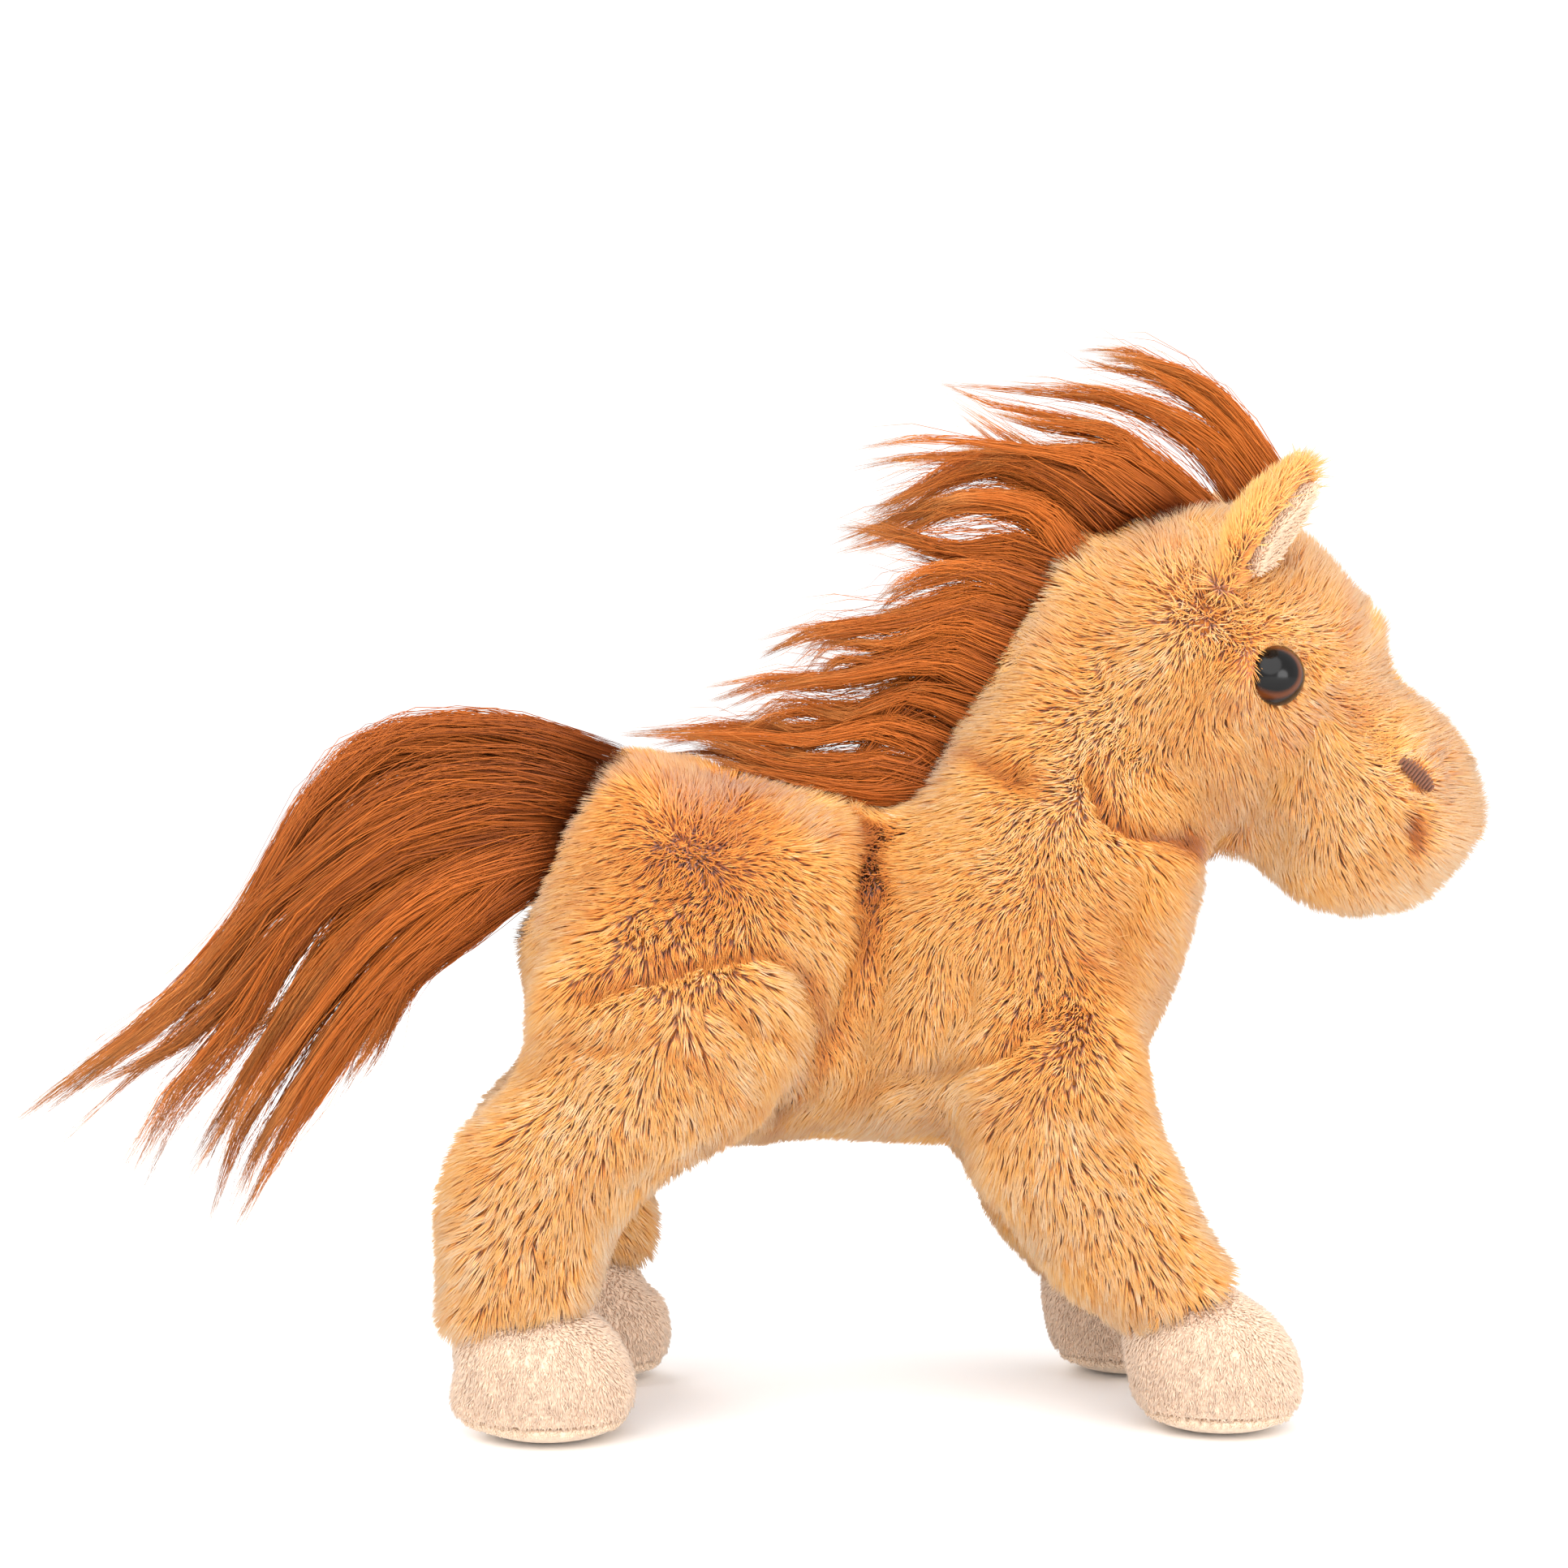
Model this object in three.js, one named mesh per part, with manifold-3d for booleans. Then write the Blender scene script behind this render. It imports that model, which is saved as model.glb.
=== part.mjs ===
// A standing plush horse about 20 cm tall, long-haired mane and tail, short-pile hooves.
// Millimetres, +Z up, nose towards +X, the soles rest on z = 0 and the horse's right side faces -Y.
import * as THREE from 'three';
import ManifoldModule from 'manifold-3d';

const library = await ManifoldModule();
library.setup();
const { Manifold, CrossSection } = library;

// Clearances
const SEAT_GAP = 0.3; // between pieces that are sewn or pressed to each other
const SWING_GAP = 0.5; // between pieces that turn against each other

// Trunk, from the rump to the breast
const TRUNK_LENGTH = 132;
const TRUNK_DEPTH = 84; // belly to the top of the rump
const TRUNK_WIDTH = 76;
const BELLY_HEIGHT = 52; // floor to belly
const RUMP_BACK = 48; // from the origin, the middle of the whole length, back to the rump

// Neck, from the withers to the middle of the head
const NECK_FORWARD = 67;
const NECK_RISE = 98; // belly to the middle of the head

// Head, a large ball and a muzzle ball drawn together
const HEAD_RADIUS = 36.4;
const HEAD_WIDTH = 59;
const MUZZLE_RADIUS = 26.3;
const MUZZLE_FORWARD = 31.2;
const MUZZLE_DROP = 25.5;
const FACE_FILLET = 9; // rounds the dip between brow and muzzle

// Legs
const LEG_SPACING = 58; // between the middles of the right and left legs
const LEG_THICKNESS = 35; // across the horse
const HIP_BACK = 18; // from the origin back to the hip axis
const HIP_HEIGHT = 80;
const THIGH_RADIUS = 27.5;
const SHOULDER_FORWARD = 58.7; // from the origin forward to the shoulder axis
const SHOULDER_HEIGHT = 68;
const SHOULDER_RADIUS = 21;
const ROOT_INSET = 12; // from the middle plane to the inner face of a leg's root
const ROOT_CROWN = 13.5; // how far a leg's root swells beyond its straight part
const HIND_STRIDE = 8.2; // how far forward of the right hind foot the left one stands
const FORE_STRIDE = -7.5;

// Hooves
const HOOF_LENGTH = 35.4;
const HOOF_HEIGHT = 30;
const HOOF_LEAN = 5.5; // how far the top of a hoof leans back over its sole
const HIND_HOOF_BACK = 21.9; // from the hip axis back to the middle of the sole
const FORE_HOOF_FORWARD = 32.7; // from the shoulder axis forward to the middle of the sole
const SOLE_HEIGHT = 4.5;

// Tail
const TAIL_LENGTH = 104;
const TAIL_WIDTH = 35;
const TAIL_ROOT_RADIUS = 21.5;
const TAIL_ROOT_WIDTH = 30;
const TAIL_ROOT_OUT = 1; // from the rump back to the tail's axis
const TAIL_ROOT_RISE = 67.5; // belly to the tail's axis

// Mane
const MANE_LENGTH = 60;
const MANE_WIDTH = 24; // across the horse at the sewn strip
const MANE_HEIGHT = 6; // the sewn strip above the crest
const LOCK_TIP_RADIUS = 0.9;

// Ears
const EAR_LENGTH = 25;
const EAR_WIDTH = 19;
const EAR_DEPTH = 9.5;
const EAR_ROOT_RADIUS = 2.8; // the rolled edge that the ear folds about
const EAR_SPACING = 42; // between the middles of the ear roots
const EAR_FORWARD = 6; // from the middle of the head to the ear roots
const EAR_SLANT = 40; // degrees that the ear root falls towards the side
const EAR_FORWARD_TILT = 20; // degrees
const EAR_TURN = 40; // degrees that the ear's open side looks outwards
const LINING_THICKNESS = 2;

// Eyes, a domed head on a shank, held by a washer inside the skin
const EYE_DIAMETER = 12;
const EYE_CROWN = 4.4;
const EYE_RIM = 1;
const EYE_FORWARD = 8.8; // from the middle of the head
const EYE_DROP = 1.6;
const EYE_TURN = 24; // degrees that the eye looks forward
const EYE_SINK = 2.6; // how deep the eye's rim lies below the pile
const SHANK_DIAMETER = 3.4;
const SHANK_LENGTH = 9;
const WASHER_DIAMETER = 11;
const WASHER_THICKNESS = 1.5;
const WASHER_DEPTH = 4; // behind the rim

// Nostrils, satin-stitched bars
const NOSTRIL_LENGTH = 8.4;
const NOSTRIL_WIDTH = 3.4;
const NOSTRIL_THICKNESS = 2;
const NOSTRIL_FORWARD = 7.5; // from the middle of the muzzle ball
const NOSTRIL_RISE = 4.5;
const NOSTRIL_SLANT = 50; // degrees down from level, towards the nose

// Joint limits in degrees, as in the record
const NOD_LIMITS = [-8, 12];
const LEG_LIMITS = [-10, 10];
const TAIL_LIMITS = [-12, 20];

// Facet counts
const BODY_SIDES = 22;
const LIMB_SIDES = 14;
const HOOF_SIDES = 14;
const LOCK_SIDES = 6;
const STRIP_SIDES = 8;
const BALL_SIDES = 22;
const ROOT_SIDES = 28;
const SMALL_SIDES = 12;
const ROW_STEPS = 2; // rings for each row of a table
const LOCK_STEPS = 6;
const STRIP_STEPS = 8;
const CROWN_STEPS = 6;
const FILLET_SIDES = 22;

// Shapes without a size
const SECTION_POWER = 2.25; // 2 is an ellipse, more is plumper
const LOCK_TAPER = 1.5; // 1 is a cone, more stays thick for longer
const MITRE_LIMIT = 2;
const CUFF_DROP_SHARE = 0.25; // of the sole's height
const LOCK_FLATNESS_SHARE = 0.9; // a lock's thickness across the horse to that along it
const TAIL_FLATNESS_SHARE = 0.8;
const EYE_HOLLOW_HEIGHT_SHARE = 3; // of how deep the eye sits
const EYE_HOLLOW_FLARE_SHARE = 2;

// How far a surface may move when small facets are joined
const FACET_SLACK = 0.06;
const OUTLINE_SLACK = 0.075;

// Places that follow from the sizes
const BACK_X = -RUMP_BACK;
const HEAD_CENTRE = new THREE.Vector3(0, 0, BELLY_HEIGHT + NECK_RISE);
const WITHERS_SHARE = 0.58; // of the trunk's length
const WITHERS_X = BACK_X + WITHERS_SHARE * TRUNK_LENGTH;
HEAD_CENTRE.x = WITHERS_X + NECK_FORWARD;
const MUZZLE_CENTRE = new THREE.Vector3(MUZZLE_FORWARD, 0, -MUZZLE_DROP).add(HEAD_CENTRE);
const HIP = new THREE.Vector3(-HIP_BACK, 0, HIP_HEIGHT);
const SHOULDER = new THREE.Vector3(SHOULDER_FORWARD, 0, SHOULDER_HEIGHT);
const TAIL_ROOT = new THREE.Vector3(BACK_X - TAIL_ROOT_OUT, 0, BELLY_HEIGHT + TAIL_ROOT_RISE);
const HEAD_FLATNESS = HEAD_WIDTH / (2 * HEAD_RADIUS);
const UP = new THREE.Vector3(0, 0, 1);
const ACROSS = new THREE.Vector3(0, 1, 0);

// Trunk sections as shares: top x, top z, bottom x, bottom z, half width.
// x counts from the rump by the trunk's length, z from the belly by its depth.
const TRUNK_SHARES = [
  [0.015, 0.62, 0.013, 0.417, 0.32],
  [0.06, 0.78, 0.034, 0.25, 0.64],
  [0.117, 0.923, 0.087, 0.1, 0.84],
  [0.193, 1, 0.186, 0.024, 0.96],
  [0.33, 0.93, 0.33, 0.006, 1],
  [0.436, 0.9, 0.436, 0.024, 0.95],
  [0.519, 0.863, 0.534, 0.01, 0.86],
  [0.576, 0.849, 0.686, 0, 0.93],
  [0.621, 0.893, 0.875, 0.071, 0.97],
];

// Neck sections in the same order; x counts from the withers by the neck's reach, z from the
// belly by its rise.
const NECK_SHARES = [
  [0.164, 0.857, 0.828, 0.235, 0.93],
  [0.254, 0.959, 0.948, 0.439, 0.84],
  [0.373, 1.122, 1.015, 0.633, 0.68],
  [0.493, 1.25, 1.09, 0.827, 0.56],
  [0.627, 1.316, 1.06, 1, 0.4],
];
const RUMP_END_SHARES = [0, 0.52]; // of the trunk's length and depth
const NECK_END_SHARES = [0.85, 1.2]; // of the neck's reach and rise

// Leg sections as shares of the joint's height: rear x, rear z, front x, front z, half width.
// x counts from the joint, z from the floor.
const HIND_LEG_SHARES = [
  [-0.555, 0.214, -0.153, 0.248, 0.93],
  [-0.57, 0.283, -0.145, 0.312, 0.98],
  [-0.562, 0.397, -0.125, 0.397, 1],
  [-0.572, 0.529, -0.075, 0.52, 1],
  [-0.552, 0.666, 0.053, 0.635, 1.02],
  [-0.477, 0.803, 0.17, 0.7, 1.03],
  [-0.344, 0.931, 0.279, 0.813, 0.97],
];
const FORE_LEG_SHARES = [
  [0.169, 0.265, 0.551, 0.397, 0.93],
  [0.088, 0.331, 0.544, 0.441, 0.98],
  [-0.044, 0.449, 0.478, 0.559, 1],
  [-0.14, 0.578, 0.419, 0.691, 1],
  [-0.228, 0.676, 0.353, 0.843, 1],
  [-0.282, 0.785, 0.3, 0.94, 0.98],
  [-0.26, 0.912, 0.25, 1.06, 0.92],
];

// Hoof rings as shares: height, half length and lean.
const HOOF_SHARES = [
  [0, 0.5, 0],
  [0.03, 0.68, 0],
  [0.11, 0.87, 0],
  [0.25, 0.975, 0.05],
  [0.45, 1, 0.2],
  [0.65, 0.93, 0.5],
  [0.8, 0.76, 0.75],
  [0.92, 0.48, 0.95],
];

// Tail sections as shares of its length: top back, top rise, bottom back, bottom rise, half width.
// They count back and up from the tail's axis.
const TAIL_SHARES = [
  [-0.085, 0.178, 0.014, -0.202, 0.84],
  [0.014, 0.205, 0.091, -0.26, 0.97],
  [0.149, 0.202, 0.178, -0.341, 1],
  [0.303, 0.168, 0.245, -0.433, 0.97],
  [0.409, 0.053, 0.303, -0.514, 0.9],
  [0.505, -0.101, 0.351, -0.587, 0.77],
  [0.591, -0.221, 0.409, -0.649, 0.6],
  [0.649, -0.322, 0.486, -0.649, 0.4],
];
const TAIL_START_SHARES = [0, 0];
const TAIL_END_SHARES = [0.6, -0.54];

// Pointed ends of the tail as shares of its length: back and rise of four points, then the
// root's radius.
const TAIL_LOCK_SHARES = [
  [0.55, -0.26, 0.66, -0.385, 0.803, -0.49, 0.995, -0.632, 0.052],
  [0.495, -0.361, 0.62, -0.514, 0.697, -0.62, 0.733, -0.736, 0.06],
  [0.389, -0.476, 0.476, -0.62, 0.514, -0.726, 0.548, -0.824, 0.065],
  [0.264, -0.341, 0.293, -0.438, 0.308, -0.486, 0.315, -0.52, 0.05],
];

// Locks of the mane: the root's share of the crest, then as shares of the mane's length the
// forward and rise of three points from the root, the root's radius and the tip's place across.
const MANE_LOCK_SHARES = [
  [0.98, -0.338, 0.133, -0.667, 0.158, -0.978, 0.117, 0.11, 0.1],
  [0.82, -0.278, 0.072, -0.555, 0.042, -0.888, -0.038, 0.14, -0.15],
  [0.65, -0.167, 0.05, -0.367, 0, -0.572, -0.087, 0.14, 0.15],
  [0.46, -0.2, 0.05, -0.433, 0, -0.705, -0.095, 0.15, -0.17],
  [0.26, -0.217, 0.067, -0.517, 0.017, -0.867, -0.055, 0.15, 0.15],
  [0.08, -0.283, 0.067, -0.683, 0.042, -1.12, 0.02, 0.13, -0.1],
];

// Locks of the forelock, rooted by the turn in degrees about the middle of the head.
const FORELOCK_LOCK_SHARES = [
  [-0.15, 0.292, -0.362, 0.458, -0.638, 0.52, 0.06, 0.04],
  [-0.155, 0.212, -0.467, 0.333, -0.988, 0.392, 0.085, -0.04],
];
const FORELOCK_TURNS = [74, 84];
const FORELOCK_STRIP_TURNS = [70, 90];
const MANE_TOP_TURNS = [110, 121];

// Ear rings as shares: height, half width, half depth.
const EAR_SHARES = [
  [0.04, 0.72, 0.5],
  [0.22, 0.92, 0.86],
  [0.45, 1, 1],
  [0.68, 0.82, 0.84],
  [0.86, 0.5, 0.55],
];
const EAR_CUP_SHARE = 0.7; // the hollow's width to the ear's
const EAR_CUP_FORWARD_SHARE = 0.62; // the hollow's middle, by the ear's half depth

// Materials, one for each finish
function finish(color, roughness) {
  return new THREE.MeshStandardMaterial({ color, roughness, metalness: 0 });
}
const TAN_PILE = finish(0xeeac6c, 0.95);
const HAIR = finish(0x9a4b1d, 0.8);
const HOOF_PILE = finish(0xf3d5b6, 0.9);
const LINING_PILE = finish(0xecc09a, 0.9);
const SOLE_PILE = finish(0xe2bf9c, 0.9);
const STITCHES = finish(0x8f4f28, 0.7);
const EYE_PLASTIC = finish(0x1a0f0a, 0.12);
const WASHER_PLASTIC = finish(0xf0efe9, 0.5);

// A closed form from rings and two end points. A ring has a centre and two half axes.
function loft(start, rings, end, sides, power = 2) {
  const points = [start.toArray()];
  for (const ring of rings) {
    for (let side = 0; side < sides; side += 1) {
      const angle = (2 * Math.PI * side) / sides;
      const rise = Math.sign(Math.cos(angle)) * Math.abs(Math.cos(angle)) ** (2 / power);
      const spread = Math.sign(Math.sin(angle)) * Math.abs(Math.sin(angle)) ** (2 / power);
      const point = ring.centre.clone().addScaledVector(ring.up, rise);
      points.push(point.addScaledVector(ring.across, spread).toArray());
    }
  }
  const last = points.length;
  points.push(end.toArray());
  const faces = [];
  for (let side = 0; side < sides; side += 1) {
    const next = (side + 1) % sides;
    faces.push([0, 1 + side, 1 + next]);
    for (let ring = 1; ring < rings.length; ring += 1) {
      const low = 1 + (ring - 1) * sides;
      const high = low + sides;
      faces.push([low + side, high + side, high + next], [low + side, high + next, low + next]);
    }
    const rim = 1 + (rings.length - 1) * sides;
    faces.push([rim + side, last, rim + next]);
  }
  const vertProperties = new Float32Array(points.flat());
  const triVerts = new Uint32Array(faces.flat());
  const solid = Manifold.ofMesh({ numProp: 3, vertProperties, triVerts });
  if (solid.volume() > 0) return solid;
  return Manifold.ofMesh({ numProp: 3, vertProperties, triVerts: triVerts.reverse() });
}

// Rows of numbers with extra rows between them, on a smooth curve through each column.
function smoothRows(rows, steps) {
  const result = [];
  for (let index = 0; index + 1 < rows.length; index += 1) {
    const before = rows[Math.max(index - 1, 0)];
    const after = rows[Math.min(index + 2, rows.length - 1)];
    for (let step = 0; step < steps; step += 1) {
      const t = step / steps;
      result.push(rows[index].map((here, column) => {
        const next = rows[index + 1][column];
        const slope = (next - before[column]) / 2;
        const nextSlope = (after[column] - here) / 2;
        const rest = next - here;
        return here + slope * t + (3 * rest - 2 * slope - nextSlope) * t ** 2
          + (slope + nextSlope - 2 * rest) * t ** 3;
      }));
    }
  }
  result.push(rows[rows.length - 1]);
  return result;
}

// A ring across the horse from a row of top x, top z, bottom x, bottom z, half width.
function ringOf([topX, topZ, bottomX, bottomZ, halfWidth], grow, y = 0) {
  const top = new THREE.Vector3(topX, y, topZ);
  const bottom = new THREE.Vector3(bottomX, y, bottomZ);
  const up = top.clone().sub(bottom).multiplyScalar(0.5);
  const centre = top.clone().add(bottom).multiplyScalar(0.5);
  up.setLength(up.length() + grow);
  return { centre, up, across: ACROSS.clone().multiplyScalar(halfWidth + grow) };
}

const trunkPlace = (x, z) => [BACK_X + x * TRUNK_LENGTH, BELLY_HEIGHT + z * TRUNK_DEPTH];
const neckPlace = (x, z) => [WITHERS_X + x * NECK_FORWARD, BELLY_HEIGHT + z * NECK_RISE];
const widthOf = (share) => (share * TRUNK_WIDTH) / 2;
const rowsOf = (shares, toPlace) => shares.map(([topX, topZ, bottomX, bottomZ, width]) => [
  ...toPlace(topX, topZ), ...toPlace(bottomX, bottomZ), widthOf(width),
]);
const BODY_ROWS = [...rowsOf(TRUNK_SHARES, trunkPlace), ...rowsOf(NECK_SHARES, neckPlace)];

// The body with its neck, before anything is cut from it.
function bodyForm(grow) {
  const rings = smoothRows(BODY_ROWS, ROW_STEPS).map((row) => ringOf(row, grow));
  const [rumpX, rumpZ] = trunkPlace(...RUMP_END_SHARES);
  const [neckX, neckZ] = neckPlace(...NECK_END_SHARES);
  const start = new THREE.Vector3(rumpX - grow, 0, rumpZ);
  return loft(start, rings, new THREE.Vector3(neckX, 0, neckZ + grow), BODY_SIDES, SECTION_POWER);
}

// The radius of a faceted round that clears a round of this radius at every turn.
const clearOf = (radius, sides) => (radius + SWING_GAP) / Math.cos(Math.PI / sides);

// Turns a solid about a line across the horse through a place.
function turned(solid, place, degrees) {
  const back = place.clone().negate().toArray();
  return solid.translate(back).rotate([0, degrees, 0]).translate(place.toArray());
}

// A solid swept between a joint's limits, as copies at rest and at both limits.
function swept(solid, place, limits) {
  const turns = [limits[0], 0, limits[1]];
  return Manifold.union(turns.map((turn) => turned(solid, place, turn)));
}

// The head: two balls drawn together, narrower across than they are tall.
function headForm(grow) {
  const reach = Math.hypot(MUZZLE_FORWARD, MUZZLE_DROP);
  const cranium = CrossSection.circle(HEAD_RADIUS + grow, BALL_SIDES);
  const muzzle = CrossSection.circle(MUZZLE_RADIUS + grow, BALL_SIDES).translate([0, reach]);
  const outline = cranium.add(muzzle)
    .offset(FACE_FILLET, 'Round', MITRE_LIMIT, FILLET_SIDES)
    .offset(-FACE_FILLET, 'Round', MITRE_LIMIT, FILLET_SIDES)
    .simplify(OUTLINE_SLACK);
  const tilt = THREE.MathUtils.radToDeg(Math.atan2(MUZZLE_FORWARD, -MUZZLE_DROP));
  return Manifold.revolve(outline.toPolygons(), BALL_SIDES)
    .rotate([0, tilt, 0])
    .scale([1, HEAD_FLATNESS, 1])
    .translate(HEAD_CENTRE.toArray());
}

// The room that the nodding head needs: its large ball is round about the axis, and the muzzle
// is taken at both limits.
function headRoom() {
  const ball = (radius, place) => Manifold.sphere(clearOf(radius, BALL_SIDES), BALL_SIDES)
    .scale([1, HEAD_FLATNESS, 1])
    .translate(place.toArray());
  const snout = ball(MUZZLE_RADIUS, HEAD_CENTRE).add(ball(MUZZLE_RADIUS, MUZZLE_CENTRE)).hull();
  const snouts = NOD_LIMITS.map((turn) => turned(snout, HEAD_CENTRE, turn));
  return Manifold.union([ball(HEAD_RADIUS, HEAD_CENTRE), ...snouts]);
}

// A leg's root is round about the joint's axis, so it can turn in its hollow in the trunk.
function legRoot(place, radius, side, grow) {
  const inner = ROOT_INSET - grow;
  const straight = (LEG_SPACING + LEG_THICKNESS) / 2 - ROOT_CROWN;
  const outer = grow > 0 ? clearOf(radius, ROOT_SIDES) : radius;
  const outline = [[0, inner], [outer, inner]];
  for (let step = 0; step <= CROWN_STEPS; step += 1) {
    const angle = (Math.PI / 2) * (step / CROWN_STEPS);
    outline.push([outer * Math.cos(angle), straight + (ROOT_CROWN + grow) * Math.sin(angle)]);
  }
  return Manifold.revolve([outline], ROOT_SIDES)
    .rotate([side * -90, 0, 0])
    .translate(place.toArray());
}

// A leg's outer form, from the cuff over the hoof to the joint.
function legForm(shares, place, side, stride) {
  const y = (side * LEG_SPACING) / 2;
  const unit = place.z;
  const shift = (z) => stride * (1 - z);
  const rows = shares.map(([rearX, rearZ, frontX, frontZ, width]) => [
    place.x + rearX * unit + shift(rearZ), rearZ * unit,
    place.x + frontX * unit + shift(frontZ), frontZ * unit,
    (width * LEG_THICKNESS) / 2,
  ]);
  const rings = smoothRows(rows, ROW_STEPS).map((row) => ringOf(row, 0, y));
  const cuff = rings[0].centre.clone().addScaledVector(UP, -CUFF_DROP_SHARE * SOLE_HEIGHT);
  return loft(cuff, rings, place.clone().setY(y), LIMB_SIDES, SECTION_POWER);
}

// A hoof with its sole, standing on the floor.
function hoofForm(x, side, grow) {
  const y = (side * LEG_SPACING) / 2;
  const rings = smoothRows(HOOF_SHARES, ROW_STEPS).map(([height, length, lean]) => {
    const half = (length * HOOF_LENGTH) / 2 + grow;
    const centre = new THREE.Vector3(x - lean * HOOF_LEAN, y, height * HOOF_HEIGHT);
    return { centre, up: new THREE.Vector3(half, 0, 0), across: ACROSS.clone().multiplyScalar(half) };
  });
  const sole = new THREE.Vector3(x, y, 0);
  return loft(sole, rings, new THREE.Vector3(x - HOOF_LEAN, y, HOOF_HEIGHT + grow), HOOF_SIDES);
}

// A tapering lock of hair through points, from a root radius to the tip's.
function lockForm(points, radius, flatness) {
  const curve = new THREE.CatmullRomCurve3(points);
  const rings = [];
  for (let step = 0; step < LOCK_STEPS; step += 1) {
    const t = step / LOCK_STEPS;
    const along = curve.getTangent(t);
    const up = new THREE.Vector3().crossVectors(along, ACROSS).normalize();
    const across = new THREE.Vector3().crossVectors(up, along).normalize();
    const size = LOCK_TIP_RADIUS + (radius - LOCK_TIP_RADIUS) * (1 - t ** LOCK_TAPER);
    rings.push({
      centre: curve.getPoint(t),
      up: up.multiplyScalar(size),
      across: across.multiplyScalar(size * flatness),
    });
  }
  const start = curve.getPoint(0).addScaledVector(curve.getTangent(0), -radius / 2);
  return loft(start, rings, curve.getPoint(1), LOCK_SIDES);
}

// The tail's root is a ball about its axis, and its hair is a flat plume with pointed ends.
function tailBall(radius) {
  return Manifold.sphere(radius, BALL_SIDES)
    .scale([1, TAIL_ROOT_WIDTH / (2 * TAIL_ROOT_RADIUS), 1])
    .translate(TAIL_ROOT.toArray());
}

function tailPlume() {
  const place = (back, rise) => [TAIL_ROOT.x - back * TAIL_LENGTH, TAIL_ROOT.z + rise * TAIL_LENGTH];
  const point = (back, rise, y = 0) => {
    const [x, z] = place(back, rise);
    return new THREE.Vector3(x, y, z);
  };
  const rows = TAIL_SHARES.map(([topBack, topRise, bottomBack, bottomRise, width]) => [
    ...place(topBack, topRise), ...place(bottomBack, bottomRise), (width * TAIL_WIDTH) / 2,
  ]);
  const rings = smoothRows(rows, ROW_STEPS).map((row) => ringOf(row, 0));
  const plume = loft(point(...TAIL_START_SHARES), rings, point(...TAIL_END_SHARES), LIMB_SIDES);
  const locks = TAIL_LOCK_SHARES.map((row) => {
    const radius = row[8] * TAIL_LENGTH;
    const points = [0, 2, 4, 6].map((column) => point(row[column], row[column + 1]));
    return lockForm(points, radius, TAIL_FLATNESS_SHARE);
  });
  return Manifold.union([plume, ...locks]);
}

// A place on the head's large ball, by the turn in degrees up from the nose.
function onHead(degrees) {
  const angle = THREE.MathUtils.degToRad(degrees);
  return new THREE.Vector3(Math.cos(angle), 0, Math.sin(angle))
    .multiplyScalar(HEAD_RADIUS + SEAT_GAP)
    .add(HEAD_CENTRE);
}

// The strip that long hair is sewn to, before the neck or head is cut from it.
function stripForm(curve) {
  const rings = [];
  for (let step = 0; step <= STRIP_STEPS; step += 1) {
    const t = step / STRIP_STEPS;
    const up = new THREE.Vector3().crossVectors(ACROSS, curve.getTangent(t)).normalize();
    rings.push({
      centre: curve.getPoint(t),
      up: up.multiplyScalar(MANE_HEIGHT),
      across: ACROSS.clone().multiplyScalar(MANE_WIDTH / 2),
    });
  }
  const ends = [0, 1].map((t) => {
    const along = curve.getTangent(t).multiplyScalar((t - 0.5) * MANE_HEIGHT);
    return curve.getPoint(t).add(along);
  });
  return loft(ends[0], rings, ends[1], STRIP_SIDES);
}

// Locks from their roots and the rows of a table; each swings across the horse on its way out.
function locksFrom(roots, shares) {
  return shares.map((row, index) => {
    const [radius, acrossTip] = row.slice(-2);
    const stops = [0, 2, 4];
    const points = [roots[index]];
    for (const column of stops) {
      const offset = new THREE.Vector3(row[column], 0, row[column + 1]).multiplyScalar(MANE_LENGTH);
      const along = points.length / stops.length;
      points.push(offset.add(roots[index]).setY(acrossTip * along * MANE_LENGTH));
    }
    return lockForm(points, radius * MANE_LENGTH, LOCK_FLATNESS_SHARE);
  });
}

function maneForm() {
  const crest = BODY_ROWS.slice(TRUNK_SHARES.length - 1, -1).map(([x, z]) => new THREE.Vector3(x, 0, z));
  const top = MANE_TOP_TURNS.map(onHead).reverse();
  const curve = new THREE.CatmullRomCurve3([...crest, ...top]);
  const roots = MANE_LOCK_SHARES.map(([share]) => curve.getPointAt(share));
  const locks = locksFrom(roots, MANE_LOCK_SHARES.map((row) => row.slice(1)));
  return Manifold.union([stripForm(curve), ...locks]);
}

function forelockForm() {
  const [front, rear] = FORELOCK_STRIP_TURNS;
  const places = [rear, (front + rear) / 2, front].map(onHead);
  const roots = FORELOCK_TURNS.map(onHead);
  const strip = stripForm(new THREE.CatmullRomCurve3(places));
  return Manifold.union([strip, ...locksFrom(roots, FORELOCK_LOCK_SHARES)]);
}

// A round rod that stands on the origin.
const rod = (length, radius, sides) => Manifold.cylinder(length, radius, radius, sides);

// A solid made upright at the origin, set at a place with its own x, y and z directions.
function oriented(solid, place, xAxis, yAxis, zAxis) {
  const matrix = new THREE.Matrix4().makeBasis(xAxis, yAxis, zAxis).setPosition(place);
  return solid.transform(matrix.elements);
}

// Where a line across the horse leaves one of the head's balls, and the direction out of it.
function onBall({ centre, radius, forward, rise, side, sink }) {
  const y = side * HEAD_FLATNESS * Math.sqrt(radius ** 2 - forward ** 2 - rise ** 2);
  const place = new THREE.Vector3(forward, y, rise);
  const out = new THREE.Vector3(forward, y / HEAD_FLATNESS ** 2, rise).normalize();
  return { place: place.addScaledVector(out, -sink).add(centre), out };
}

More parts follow.
